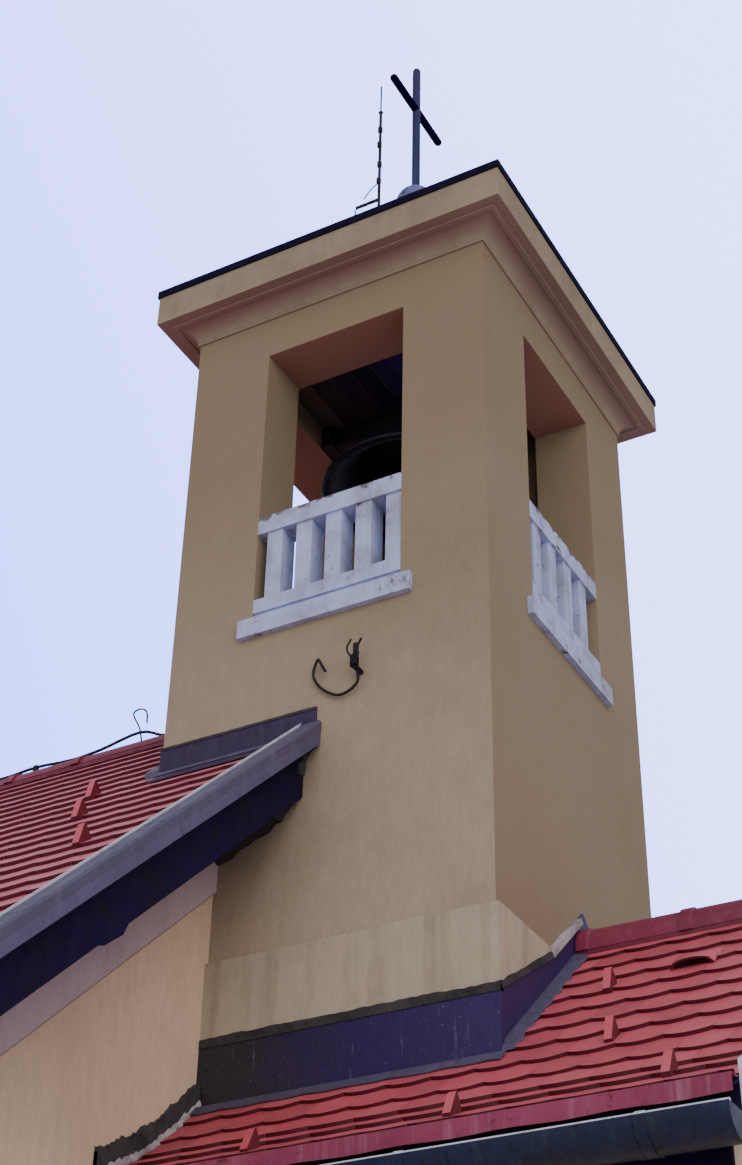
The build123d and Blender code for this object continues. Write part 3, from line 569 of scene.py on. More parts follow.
def makePiece(name, shape, finish, body="building", smooth=30.0, tones=None, bevel=0.0):
    points, faces = shape
    mesh = bpy.data.meshes.new(name)
    mesh.from_pydata([tuple(p) for p in points], [], faces)
    mesh.validate()
    if tones:
        cells = mesh.attributes.new("tone", "FLOAT", "POINT")
        cells.data.foreach_set("value", tones)
    mesh.materials.append(materials[finish])
    if smooth:
        mesh.shade_smooth()
        mesh.set_sharp_from_angle(angle=math.radians(smooth))
    piece = addObject(name, mesh)
    if bevel:
        soften(piece, bevel)
    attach(piece, body)
    return piece


# A softened copy of a CAD node that stands for it in the picture
def softCopy(node, name, finish, width, change=None):
    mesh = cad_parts[node].data.copy()
    if change:
        for point in mesh.vertices:
            point.co = change(point.co)
    mesh.materials.clear()
    mesh.materials.append(materials[finish])
    piece = addObject(name, mesh)
    if width:
        soften(piece, width, 35.0)
    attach(piece, "building")
    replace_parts(piece, node)


# A place on a roof slope: distance down from the ridge, lifted square to the slope
def onSlope(line, down, lift, side):
    for (y0, z0), (y1, z1) in zip(line, line[1:]):
        run = math.hypot(y1 - y0, z1 - z0)
        if down <= run or (y1, z1) == line[-1]:
            part = down / run
            ny, nz = (z0 - z1) / run, (y1 - y0) / run
            return side * (y0 + (y1 - y0) * part + ny * lift), z0 + (z1 - z0) * part + nz * lift
        down -= run


def downSlope(line, y):  # distance along the slope from the ridge to a distance out from it
    down = 0.0
    for (y0, z0), (y1, z1) in zip(line, line[1:]):
        part = min(max((y - y0) / (y1 - y0), 0.0), 1.0)
        down += part * math.hypot(y1 - y0, z1 - z0)
    return down


# Roof tiles: plain clay tiles with rounded tails, each course half a tile over
tile = {"width": 0.180, "gap": 0.0016, "showing": 0.160, "lap": 0.050, "thick": 0.017, "round": 0.030, "rise": 0.019,
        "tailSteps": 8, "drift": 0.002, "narrowest": 0.03, "topTail": 0.10, "topHead": 0.02, "towerGap": 0.03,
        "deckDrop": 0.050}

# The two roofs: where their tiles start and end, how far these lie over the slope line and past the eaves
roofs = {
    "nave": {"line": naveLine, "x": (b["farGableX"] - b["capInner"], b["gableX"] + b["capInner"]), "lift": -0.014,
             "overhang": 0.02, "clay": "clayTiles", "seed": 11, "nearTower": lambda x: x > b["towerLeft"] - 0.02},
    "porch": {"line": porchLine, "x": (b["gableX"] + 0.016, porchEnd - 0.026), "lift": 0.016,
              "overhang": 0.03, "clay": "porchClay", "seed": 31, "nearTower": lambda x: x < b["towerRight"] + 0.02},
}


def layTiles(name, roof, side):
    dice = random.Random(roof["seed"] + side)
    shape, tones = newShape(), []
    line, base, (xLow, xHigh) = roof["line"], roof["lift"], roof["x"]
    hidden = downSlope(line, b["face"]) + tile["towerGap"]  # tiles up here would stand inside the tower
    course, tail = 0, downSlope(line, line[-1][0]) + roof["overhang"]
    while tail > tile["topTail"]:
        head = max(tail - tile["showing"] - tile["lap"], tile["topHead"])
        x = xLow - (tile["width"] / 2 if course % 2 else 0.0)
        while x < xHigh:
            left, right = max(x, xLow) + tile["gap"] / 2, min(x + tile["width"], xHigh) - tile["gap"] / 2
            inTower = roof["nearTower"]((left + right) / 2) and tail < hidden
            if right - left > tile["narrowest"] and not inTower:
                tone, slip = dice.random(), dice.uniform(-1, 1) * tile["drift"]
                lift = base + tile["rise"] + dice.uniform(-0.0005, 0.001)
                outline = [(right, head), (left, head)]
                for i in range(tile["tailSteps"] + 1):
                    u = left + (right - left) * i / tile["tailSteps"]
                    bow = ((u - x) / tile["width"] - 0.5) * 2
                    outline.append((u, tail + slip - tile["round"] * bow * bow))
                rises = [base + (lift - base) * (down - head) / (tail - head) for u, down in outline]
                top, under = ([(u, *onSlope(line, down, rise - thick, side)) for (u, down), rise in zip(outline, rises)]
                              for thick in (0, tile["thick"]))
                addLoft(shape, [top, under], side < 0)
                tones += [tone] * (2 * len(outline))
            x += tile["width"]
        course += 1
        tail -= tile["showing"]
    makePiece(name, shape, roof["clay"], smooth=0, tones=tones)


def underTiles(point):  # the deck lies lower than the tiles' upper face, which the solid slope stands for
    drop = tile["deckDrop"] if point.z > naveAt(point.y) - 0.004 else 0.0
    return Vector((point.x, point.y, point.z - drop))


for label in ("front", "back"):
    softCopy("nave_roof_" + label, "naveDeck" + label.capitalize(), "boardPaint", 0, underTiles)
for label, side in (("Front", -1), ("Back", 1)):
    for roof in ("nave", "porch"):
        layTiles(roof + "Tiles" + label, roofs[roof], side)
print("tiles laid")

# Ridge tiles overlap each other, each a little wider at its open end
ridge = {"length": 0.43, "longest": 1.3, "lap": 0.05, "radius": 0.104, "flare": 0.008, "collar": (0.05, 0.055),
         "taper": 0.002, "sway": 0.003, "thick": 0.012, "steps": 14}
ridges = {  # start, first joint and end along the roof, height, how far the tiles' middle lies below it, spread, seed
    "nave": (b["towerLeft"] - 0.012, 1.14, b["farGableX"] - b["verge"], b["naveRidge"], 0.090, 78.0, 5),
    "porch": (b["towerRight"] + 0.012, 4.33, porchEnd, b["porchRidge"], 0.014, 100.0, 6),
}


def layRidge(name, start, first, end, top, drop, spread, seed):
    dice = random.Random(seed)
    shape, tones = newShape(), []
    direction = 1 if end > start else -1
    joints = [start, first]
    while abs(end - joints[-1]) > ridge["longest"] * ridge["length"]:
        joints.append(joints[-1] + direction * ridge["length"])
    joints.append(end)
    radius, (collar, neck) = ridge["radius"], [direction * out for out in ridge["collar"]]
    wide = radius + ridge["flare"]
    for x0, joint in zip(joints, joints[1:]):
        x1 = joint + direction * (ridge["lap"] if joint != end else 0.0)
        lift = dice.uniform(-ridge["sway"], ridge["sway"])
        rings = []
        for x, outer in ((x0, wide), (x0 + collar, wide), (x0 + neck, radius), (x1, radius - ridge["taper"])):
            ring = []
            for size, order in ((outer, 1), (outer - ridge["thick"], -1)):
                for k in range(ridge["steps"] + 1):
                    turn = math.radians(order * spread * (2 * k / ridge["steps"] - 1))
                    ring.append((x, size * math.sin(turn), top - drop + lift + size * math.cos(turn)))
            rings.append(ring)
        addLoft(shape, rings, direction > 0)
        tones += [dice.random()] * (len(rings) * len(rings[0]))
    makePiece(name, shape, "ridgeClay", smooth=40, tones=tones)


for label, row in ridges.items():
    layRidge(label + "RidgeTiles", *row)

# Snow guards: narrow clay wedges that stand up from single tiles, placed by x and distance from the ridge
guards = {
    "width": 0.031, "length": 0.080, "height": 0.058, "foot": 0.02, "toe": 0.008, "back": 0.012,
    "nave": [(1.907, 0.936), (2.115, 1.268), (2.512, 1.724), (0.7, 1.0), (0.2, 1.7), (-0.5, 1.1), (-1.2, 1.8),
             (-2.0, 1.2), (-3.0, 1.75)],
    "porch": [(4.170, 0.496), (4.342, 0.936), (4.711, 1.396), (3.970, 1.452), (3.201, 1.468)],
}


def addGuard(shape, line, side, x, y, base):
    down = downSlope(line, y)
    head, low, top = down - guards["length"], base - guards["foot"], base + guards["height"]
    back = head - guards["back"]
    outline = [(back, low), (down, low), (down, base + guards["toe"]), (head, top), (back, top)]
    rings = [[(u, *onSlope(line, along, lift, side)) for along, lift in outline]
             for u in (x - guards["width"] / 2, x + guards["width"] / 2)]
    addLoft(shape, rings, side > 0)


for label, roof in roofs.items():
    shape = newShape()
    for side in (-1, 1):
        for x, y in guards[label]:
            addGuard(shape, roof["line"], side, x, y, roof["lift"] + tile["rise"])
    piece = makePiece(label + "SnowGuards", shape, "porchClay", smooth=0, tones=[0.6] * len(shape[0]))
    piece.data.materials.append(materials["shadedClay"])
    for face in piece.data.polygons:  # their sides are in shade
        face.material_index = 1 if abs(face.normal.x) > 0.7 else 0

# One vent tile on each slope of the porch
vent = {"x": (4.395, 4.575), "y": 0.41, "length": 0.15, "height": 0.034, "wall": 0.009, "base": 0.030, "steps": 10}


def makeVent(name, side):
    shape, rings = newShape(), []
    down = downSlope(porchLine, vent["y"])
    x0, x1 = vent["x"]
    for along, height in ((vent["length"], 0.004), (0.06, vent["height"] * 0.8), (0.0, vent["height"])):
        ring = []
        for inset, order in ((0.0, 1), (vent["wall"], -1)):
            for part in [k / vent["steps"] for k in range(vent["steps"] + 1)][::order]:
                u = x0 + inset + (x1 - x0 - 2 * inset) * part
                lift = vent["base"] + max(0.0, height - inset) * math.sin(math.pi * part) ** 0.35
                ring.append((u, *onSlope(porchLine, down - along, lift, side)))
        rings.append(ring)
    addLoft(shape, rings, side > 0)
    makePiece(name, shape, "porchClay", smooth=50, tones=[0.4] * len(shape[0]))


makeVent("porchVentTileFront", -1)
makeVent("porchVentTileBack", 1)
print("ridges, snow guards and vent tiles laid")

# Trim of the verges. Each strip lies from near to far out of the gable, and from low to high over the slope line
vergeTrim = {
    # The pale strip along the cap's inner fold is a painted highlight
    "vergeCapFoldHighlights": ("paleSheet", "verge_sheet_metal", [(0.398, 0.404, 0.058, 0.074)]),
    "vergeFrontFolds": ("purpleSheet", "verge_sheet_metal", [(0.496, 0.5015, -0.056, 0.006)]),
    "vergeCapSeams": ("vergeSheet", "verge_sheet_metal", [(0.4055, 0.489, 0.040, 0.064)]),
    "bargeMouldings": ("boardPaint", "painted_boards",
                       [(0.4765, 0.4795, -0.060, -0.050), (0.4195, 0.432, -0.112, -0.054)]),
    "friezeJoints": ("roughMortar", "nave_plaster", [(-0.002, 0.0145, -0.6535, -0.6495)]),
}
seamAcross = {"first": 0.35, "every": 0.95, "width": 0.012}  # the cap's seams, which cross the verge
friezeEnd = 2.95


def addSlopeStrip(shape, side, xs, ys, low, high):
    x0, x1 = sorted(xs)
    rings = [[(x0, side * y, naveAt(y) + low), (x1, side * y, naveAt(y) + low),
              (x1, side * y, naveAt(y) + high), (x0, side * y, naveAt(y) + high)] for y in ys]
    addLoft(shape, rings, side > 0)


def stripSpans(name, inner):  # how far out from the ridge a piece's strips lie
    if name == "friezeJoints":
        return [(inner, friezeEnd)]
    if name != "vergeCapSeams":
        return [(inner, b["naveEdge"])]
    spans, y = [], inner + seamAcross["first"]
    while y < b["naveEdge"]:
        spans.append((y, y + seamAcross["width"]))
        y += seamAcross["every"] * math.cos(math.radians(b["navePitch"]))
    return spans


gables = ((b["gableX"], 1, b["face"] + 0.01), (b["farGableX"], -1, 0.13))  # face, which way it looks, start of the trim
for name, (finish, slot, strips) in vergeTrim.items():
    shape = newShape()
    for gable, way, inner in gables[:1] if name == "vergeFrontFolds" else gables:
        for side in (-1, 1):
            for near, far, low, high in strips:
                for span in stripSpans(name, inner):
                    addSlopeStrip(shape, side, (gable + way * near, gable + way * far), span, low, high)
    makePiece(name, shape, finish, smooth=0)


# A near-black, ragged lump where the verge dies into the tower
def raggedOutline(outline, normal, wobble, seed, step=0.03):
    dice = random.Random(seed)
    ring = []
    for p, q in zip(outline, outline[1:] + outline[:1]):
        p, q = Vector(p), Vector(q)
        count = max(1, int((q - p).length / step))
        for i in range(count):
            off = Vector([dice.uniform(-wobble, wobble) for axis in range(3)])
            ring.append(p.lerp(q, i / count) + off - normal * off.dot(normal))
    return ring


def addSheet(shape, ring, normal, thick, seed):  # a lump of even thickness with rounded edges
    points, faces = shape
    dice = random.Random(seed)
    at, size = len(points), len(ring)
    centre = sum(ring, Vector()) / size
    front = [p + normal * (thick * dice.uniform(0.6, 1.1)) for p in ring]
    shrunk = [centre.lerp(p, 0.93) + normal * thick * 1.35 for p in front]
    points += ring + front + shrunk
    for i in range(size):
        k = (i + 1) % size
        for low in (at, at + size):
            faces.append([low + i, low + k, low + size + k, low + size + i])
    faces.append([at + 2 * size + i for i in range(size)])
    faces.append([at + i for i in reversed(range(size))])


# The patch's outline, out from the gable and up from the slope line
vergeEnd = [(0.010, -0.520), (0.125, -0.492), (0.255, -0.430), (0.352, -0.362), (0.408, -0.285), (0.428, -0.120),
            (0.470, -0.075), (0.440, -0.045), (0.36, -0.10), (0.33, -0.25), (0.22, -0.34), (0.10, -0.40), (0.02, -0.44)]
endPatch = newShape()
for side in (-1, 1):
    outward = Vector((0, side, 0))
    outline = section(b["gableX"], side * b["face"], naveAt(b["face"]), vergeEnd[::side])
    addSheet(endPatch, raggedOutline(outline, outward, 0.012, 3), outward, 0.020, 4)
makePiece("vergeEndDarkLump", endPatch, "roughMortar", smooth=50)

# Flashings: light aprons on the tiles, and torn edges of tar and mortar along the top
flashing = {"upperRise": 0.130, "lowerRise": 0.285, "sideRise": 0.186, "knee": 0.375, "ridgeY": 0.06,
            "sideFrom": 0.12, "sideSteps": 22, "rearStrip": (-0.908, -0.8205)}
apron = {"step": 0.05, "wave": 0.006, "ripple": 1.7, "jitter": 0.004, "high": 0.040, "foot": 0.036, "under": 0.031,
         "porchReach": 0.062, "naveReach": 0.030, "naveDrop": 0.026}
# Torn edges: how low and high their teeth are, how far they reach down, thickness and seed
torn = {"lower": ((0.002, 0.026), 0.03, 0.026, 41), "corner": ((0.0, 0.018), 0.022, 0.026, 43),
        "knee": ((0.0, 0.018), 0.022, 0.026, 44), "upper": ((0.000, 0.006), 0.012, 0.011, 45),
        "seam": ((0.004, 0.016), 0.01, 0.018, 71)}


def addApron(shape, line, side, x0, x1, yTop, reach, seed, drop=0.0):  # a thin sheet dressed down over the tiles
    dice = random.Random(seed)
    count = max(2, int((x1 - x0) / apron["step"]))
    head, high, low, rings = downSlope(line, yTop), apron["high"], apron["under"], []
    for i in range(count + 1):
        wave = apron["wave"] * math.sin(i * apron["ripple"]) + dice.uniform(-apron["jitter"], apron["jitter"])
        foot = head + reach + wave
        ring = [(head, high), (head + reach * 0.5, high + wave * 0.3), (foot, apron["foot"]), (foot, low), (head, low)]
        rings.append([(x0 + (x1 - x0) * i / count, *onSlope(line, down, lift - drop, side)) for down, lift in ring])
    addLoft(shape, rings, side < 0)


aprons = newShape()
for side in (-1, 1):
    addApron(aprons, porchLine, side, b["gableX"] + 0.02, b["towerRight"] + 0.05, b["face"] + 0.026,
             apron["porchReach"], 21)
    addApron(aprons, naveLine, side, b["towerLeft"] - 0.004, b["gableX"] + b["capInner"] - 0.002, b["face"] + 0.012,
             apron["naveReach"], 22, apron["naveDrop"])
    rings = []
    for i in range(flashing["sideSteps"] + 1):  # runs down beside the tower's right face
        y = flashing["sideFrom"] + (b["face"] + 0.02 - flashing["sideFrom"]) * i / flashing["sideSteps"]
        wave = 0.008 * math.sin(i * 2.3)
        rings.append(section(b["towerRight"], side * y, porchAt(y), [
            (0.009, 0.034), (0.009, 0.060), (0.070 + wave, 0.046), (0.072 + wave, 0.038)]))
    addLoft(aprons, rings, side < 0)
for side in (-1, 1):  # a strip of sheet covers the tiles' cut ends along the tower's rear wall
    addSlopeStrip(aprons, side, [b["towerX"] + x for x in flashing["rearStrip"]], (0.0, b["face"]), -0.05, 0.032)
makePiece("flashingAprons", aprons, "vergeSheet", smooth=40)


# A band whose top edge is torn. It runs the other way where flip is true
def raggedBand(shape, first, last, flip, up, normal, heights, drop, thick, seed):
    dice = random.Random(seed)
    first, last = (last, first) if flip else (first, last)
    run = last - first
    count, direction = max(3, int(run.length / 0.025)), run.normalized()
    slow = [dice.uniform(0.0, 1.0) for i in range(count // 4 + 3)]
    rings = []
    for i in range(count + 1):
        u = i / 4.0
        mixed = slow[int(u)] * (1 - u % 1) + slow[int(u) + 1] * (u % 1)
        top = heights[0] + (heights[1] - heights[0]) * (0.65 * mixed + 0.35 * dice.random())
        p = first + direction * run.length * i / count
        rings.append([p + up * rise + normal * out for rise, out in (
            (-drop, 0.0), (top, 0.0), (top, thick * 0.5), (top * 0.6, thick), (-drop, thick))])
    addLoft(shape, rings)


up, right = Vector((0, 0, 1)), Vector((1, 0, 0))


def tearAlongWall(shape, x0, x1, z, side, edge):  # level along the tower's front or rear wall
    first, last = (Vector((x, side * b["face"], z)) for x in (x0, x1))
    raggedBand(shape, first, last, side < 0, up, Vector((0, side, 0)), *torn[edge])


tar, limed, seam = newShape(), newShape(), newShape()
renderTop = 4.432  # the seam over the newer render is a torn lip of the older plaster
for side in (-1, 1):
    low, high = porchAt(b["face"]) + flashing["lowerRise"], naveAt(b["face"]) + flashing["upperRise"]
    tearAlongWall(tar, b["gableX"] + 0.002, b["towerRight"] + 0.022, low, side, "lower")
    corner = Vector((b["towerRight"], side * (b["face"] + 0.022), low))
    knee, ridgeTop = (Vector((b["towerRight"], side * y, porchAt(y) + flashing["sideRise"]))
                      for y in (flashing["knee"], flashing["ridgeY"]))
    for shape, first, last, edge in ((tar, corner, knee, "corner"), (limed, knee, ridgeTop, "knee")):
        run = (last - first).normalized()
        slopeUp = Vector((0, -run.z if run.y > 0 else run.z, abs(run.y)))
        raggedBand(shape, first, last, side > 0, slopeUp, right, *torn[edge])
    tearAlongWall(tar, b["towerLeft"] - 0.008, b["gableX"] + 0.470, high, side, "upper")
    tearAlongWall(seam, b["gableX"], b["towerRight"] + 0.004, renderTop, side, "seam")
makePiece("flashingTarEdges", tar, "roughMortar", smooth=40)
makePiece("flashingLimeEdges", limed, "paleMortar", smooth=40)

# Mortar fillet up the gable beside the porch roof, with the tiles' pale bedding under it
mortarBand = {"steps": 44, "high": 0.136, "beddingHigh": 0.064, "beddingWide": 0.032}
fillet, bedding = newShape(), newShape()
for side in (-1, 1):
    bands, crumbs = [], []
    dice = random.Random(61)
    for i in range(mortarBand["steps"] + 1):
        y = b["face"] + 0.02 + (b["porchEdge"] - b["face"] - 0.02) * i / mortarBand["steps"]
        spot = (b["gableX"], side * y, porchAt(y))
        high = mortarBand["high"] + dice.uniform(-0.006, 0.010) + 0.006 * math.sin(i * 0.6)
        bands.append(section(*spot, [(0.001, 0.01), (0.001, high), (0.019, high - 0.010), (0.021, 0.085),
                                     (0.021, 0.02)]))
        wide = mortarBand["beddingWide"] + dice.uniform(-0.006, 0.006)
        top = mortarBand["beddingHigh"] + dice.uniform(-0.008, 0.010)
        crumbs.append(section(*spot, [(0.016, 0.02), (0.018, top), (0.027, top - 0.008), (wide, 0.044), (wide, 0.03)]))
    addLoft(fillet, bands, side > 0)
    addLoft(bedding, crumbs, side > 0)
makePiece("gableTarBand", fillet, "roughMortar", smooth=50)
makePiece("gableTileBedding", bedding, "paleMortar", smooth=60)
makePiece("renderSeam", seam, "newRender", smooth=50)
print("verge and flashings made")

# Gutters: rolled rim, painted pale as a highlight, collars at the joints, and straps under them
gutter = {
    "radius": 0.098, "drop": 0.134, "bead": 0.0100, "rimInset": 0.004, "firstStrap": 0.25, "strapEvery": 0.62,
    "runs": ((naveLine, (b["farGableX"] - 0.382, b["gableX"] + 0.382), (1.6, -0.4, -2.4)),
             (porchLine, (b["gableX"] + 0.012, porchEnd - 0.001), (4.710, 3.893, 3.10))),  # line, ends, joints
    "collar": {"half": 0.020, "outside": 0.004, "inside": 0.006, "steps": 14, "hook": ()},
    "strap": {"half": 0.012, "outside": 0.003, "inside": 0.001, "steps": 12, "hook": (-0.004, 0.002)},
}


def addHalfRing(shape, x, edge, rim, side, info):  # clasps the gutter from below; its hook reaches up to the eaves
    r = gutter["radius"]
    turns = [math.pi * k / info["steps"] for k in range(info["steps"] + 1)]

    def arc(u, size, order):
        return [(u, side * (edge + r) + side * min(size * math.cos(t), r - 0.0002), rim - size * math.sin(t))
                for t in turns[::order]]

    rings = []
    for u in (x - info["half"], x + info["half"]):
        hook = [(u, side * (edge + reach), rim + 0.05) for reach in info["hook"]]
        rings.append(arc(u, r + info["outside"], 1) + hook + arc(u, r - info["inside"], -1))
    addLoft(shape, rings, side < 0)


def makeGutterTrim():
    beads, collars, straps = newShape(), newShape(), newShape()
    for line, (x0, x1), joints in gutter["runs"]:
        edge, rim = line[-1][0], line[-1][1] - gutter["drop"]
        for side in (-1, 1):
            y = side * (edge + 2 * gutter["radius"] - gutter["bead"] - gutter["rimInset"])
            addTube(beads, [(x0, y, rim), (x1, y, rim)], gutter["bead"], 10)
            for x in joints:
                addHalfRing(collars, x, edge, rim, side, gutter["collar"])
                addTube(beads, [(x - 0.016, y, rim), (x + 0.016, y, rim)], gutter["bead"] + 0.003, 10)
            x = x0 + gutter["firstStrap"]
            while x < x1 - 0.05:
                addHalfRing(straps, x, edge, rim, side, gutter["strap"])
                x += gutter["strapEvery"]
    # The rims are pale: a painted highlight
    makePiece("gutterBeadHighlights", beads, "paleSheet")
    makePiece("gutterCollars", collars, "gutterSheet")
    makePiece("gutterStraps", straps, "gutterSheet")


makeGutterTrim()

# Red sheet over the porch's eaves, bent down over the gutter, and the dark boards that close the eaves from below;
# their near-black paint is also painted shade under the eaves
eavesSheet = {"lip": 0.0600, "hang": 0.060, "thick": 0.003, "steps": 30}
eavesBoards = [((1.2505, 1.3210), (-0.095, -0.075)), ((1.3240, 1.3945), (-0.095, -0.075)),
               ((1.3975, 1.4680), (-0.095, -0.075)), ((1.2503, 1.2720), (-0.340, -0.096))]
eaves, boards = newShape(), newShape()
edge, edgeZ = porchLine[-1]
for side in (-1, 1):
    rings = []
    for i in range(eavesSheet["steps"] + 1):
        x = b["gableX"] + 0.02 + (porchEnd - 0.03 - b["gableX"] - 0.02) * i / eavesSheet["steps"]
        foot = 0.003 * math.sin(i * 1.3) - eavesSheet["hang"]
        outer, inner = edge + eavesSheet["lip"], edge + eavesSheet["lip"] - eavesSheet["thick"]
        bend = [(edge - 0.05, 0.032), (edge + 0.010, 0.0065), (outer, 0.0025), (outer, foot), (inner, foot),
                (inner, -0.001), (edge + 0.008, 0.001), (edge - 0.05, 0.026)]
        rings.append([(x, side * y, edgeZ + z) for y, z in bend])
    addLoft(eaves, rings, side > 0)
    for ys, zs in eavesBoards:
        addBox(boards, (b["gableX"] + 0.010, porchEnd - 0.135), ys, [edgeZ + z for z in zs], side)
makePiece("porchEavesSheet", eaves, "redSheet", smooth=40)
makePiece("porchEavesShadeBoards", boards, "boardPaint", smooth=0, bevel=0.003)
print("gutters and eaves made")

# Balustrades, sills and cornice with worn, softened edges
softCopy("balustrades", "castBalustrades", "paintedConcrete", 0.006)
softCopy("belfry_sills", "castSills", "paintedConcrete", 0.007)
softCopy("tower_cornice", "runCornice", "cornicePlaster", 0.004)

# The cornice's mouldings: a fillet over the cove and a bead under it, each by its reach in and out of the wall
mouldings = {"fillet": (0.090, 0.120, 8.065, 8.077), "bead": (-0.01, 0.011, 7.982, 8.006)}
halfX = (b["towerRight"] - b["towerLeft"]) / 2
shape = newShape()
for inner, outer, low, high in mouldings.values():  # square rings round the tower, mitred at its corners
    addLoop(shape, [[(b["towerX"] + cx * (halfX + reach), cy * (b["face"] + reach), z)
                     for reach, z in ((inner, low), (outer, low), (outer, high), (inner, high))]
                    for cx, cy in ((-1, -1), (1, -1), (1, 1), (-1, 1))])
makePiece("corniceMouldings", shape, "cornicePlaster", smooth=0, bevel=0.004)

# Standing seams and hips on the tower's sheet-metal roof
seamed = {"every": 0.44, "width": 0.012, "height": 0.016, "start": 0.16, "halves": (0.991, 1.011), "cap": 0.045,
          "hipWidth": 0.020, "hipHeight": 0.018}


def roofPoint(face, along, part):  # part 0 at the eaves, 1 at the apex
    x, y = seamed["halves"][face % 2] * (1 - part), along
    for turn in range(face):
        x, y = -y, x
    return Vector((b["towerX"] + x, y, b["cornice"] + (b["roofApex"] - b["cornice"]) * part))


def addSeam(shape, low, high, width, height):
    run = (high - low).normalized()
    side = run.cross(up).normalized() * width / 2
    rise = side.cross(run).normalized() * height
    foot = rise * 0.2
    addLoft(shape, [[p - side - foot, p + side - foot, p + side + rise, p - side + rise] for p in (low, high)])


shape, start = newShape(), seamed["start"]
for face in range(4):
    half = seamed["halves"][1 - face % 2]
    for along in (k * seamed["every"] for k in range(-2, 3)):
        top = min(1 - abs(along) / half, 1 - seamed["cap"] / half)
        if top >= start + 0.05:
            addSeam(shape, roofPoint(face, along, start), roofPoint(face, along, top - 0.01), seamed["width"],
                    seamed["height"])
    addSeam(shape, roofPoint(face, half * (1 - start), start), roofPoint(face, half * 0.05, 0.95), seamed["hipWidth"],
            seamed["hipHeight"])
makePiece("towerRoofSeams", shape, "roofSheet", smooth=0)

# Cross of round tube with domed ends on a smooth ball
cross = {"mast": 0.0245, "foot": 9.520, "top": 10.604, "bar": 0.0235, "barZ": 10.230, "barHalf": 0.308,
         "ball": 0.115, "ballZ": 9.420, "neck": 0.032, "neckTop": 0.1105, "neckFoot": 9.235, "tip": 0.0006}


def addDomedTube(shape, start, end, radius):
    start, end = Vector(start), Vector(end)
    run = (end - start).normalized()
    turns = [math.pi / 2 * k / 5 for k in range(6)]
    sizes = [max(radius * math.sin(t), 0.0008) for t in turns]
    path = [start + run * radius * (1 - math.cos(t)) for t in turns]
    path += [end - run * radius * (1 - math.cos(t)) for t in turns[::-1]]
    addTube(shape, path, sizes + sizes[::-1], 20)


def makeCross(info):
    shape, x = newShape(), b["towerX"]
    addDomedTube(shape, (x, 0, info["foot"]), (x, 0, info["top"]), info["mast"])
    mastFaces = len(shape[1])
    addDomedTube(shape, (x, -info["barHalf"], info["barZ"]), (x, info["barHalf"], info["barZ"]), info["bar"])
    barFaces = len(shape[1])
    turns = [math.radians(t) for t in range(6, 162, 6)]
    outline = [(info["tip"], info["ballZ"] + info["ball"])]
    outline += [(info["ball"] * math.sin(t), info["ballZ"] + info["ball"] * math.cos(t)) for t in turns]
    outline += [(info["neck"], info["ballZ"] - info["neckTop"]), (info["neck"], info["neckFoot"]),
                (info["tip"], info["neckFoot"])]
    addLathe(shape, outline[::-1], (x, 0), 48)
    piece = makePiece("steelCross", shape, "blueSteel", smooth=40)
    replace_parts(piece, "cross")
    for finish in ("shadedBarSteel", "litBallSteel"):
        piece.data.materials.append(materials[finish])
    for face in piece.data.polygons:  # the bar is darker, as painted shade, and the ball is paler, as painted light
        face.material_index = (face.index >= mastFaces) + (face.index >= barFaces)


makeCross(cross)

# Lightning rod: clamps up its length and two thin stays at the bracket
rod = {"x": 2.851, "y": -0.10, "clamps": (9.62, 9.76, 9.93, 10.06), "clampRadius": 0.015, "clampHalf": 0.018,
       "stay": 0.004,
       "stays": (((2.847, 9.606), (2.80, 9.572), (2.755, 9.517)), ((2.706, 9.465), (2.700, 9.43), (2.694, 9.397)))}
shape = newShape()
for k, z in enumerate(rod["clamps"]):
    x = rod["x"] + 0.003 * (k % 2)
    addTube(shape, [(x, rod["y"], z - rod["clampHalf"]), (x, rod["y"], z + rod["clampHalf"])], rod["clampRadius"])
for stay in rod["stays"]:
    addTube(shape, smoothPath([(x, rod["y"], z) for x, z in stay]), rod["stay"], 6)
makePiece("rodClampsAndStays", shape, "darkIron")
print("tower top made")

# Bell cast with a rolled lip and raised bands, in place of the plain turned one: radius, and height over its mouth
bell = {
    "mouth": 7.295,
    "outside": [
        (0.450, 0.000), (0.462, 0.001), (0.473, 0.006), (0.4785, 0.013), (0.478, 0.019), (0.470, 0.026),
        (0.446, 0.040), (0.420, 0.060), (0.400, 0.076), (0.372, 0.112), (0.362, 0.118), (0.362, 0.126),
        (0.354, 0.134), (0.346, 0.150), (0.322, 0.190), (0.304, 0.228), (0.294, 0.253), (0.284, 0.285),
        (0.2835, 0.292), (0.280, 0.300), (0.272, 0.330), (0.266, 0.336), (0.266, 0.342), (0.2645, 0.350),
        (0.262, 0.360), (0.258, 0.372), (0.252, 0.392), (0.238, 0.418), (0.212, 0.436), (0.175, 0.4475),
        (0.008, 0.448)],
    "inside": [
        (0.008, 0.412), (0.168, 0.410), (0.196, 0.400), (0.208, 0.385), (0.230, 0.330), (0.262, 0.240),
        (0.312, 0.140), (0.366, 0.064), (0.420, 0.018)],
}
shape = newShape()
addLathe(shape, [(r, bell["mouth"] + z) for r, z in bell["outside"] + bell["inside"]], (b["towerX"], 0), 96)
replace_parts(makePiece("castBell", shape, "bellBronze", body="bell", smooth=50), "bell")

# Straps and bolts that hold the bell to its yoke, and the plates on the bearings
yoke = {"low": 7.743, "high": 7.850, "straps": (-0.32, -0.13, 0.13, 0.32), "half": 0.018, "depth": (0.048, 0.053)}
bearing = {"reach": 0.493, "half": 0.026, "depth": (0.074, 0.081), "z": (7.752, 7.870), "bolts": (7.775, 7.847)}
bolt = {"radius": 0.011, "height": 0.008, "nail": 0.008, "nailHeight": 0.004}


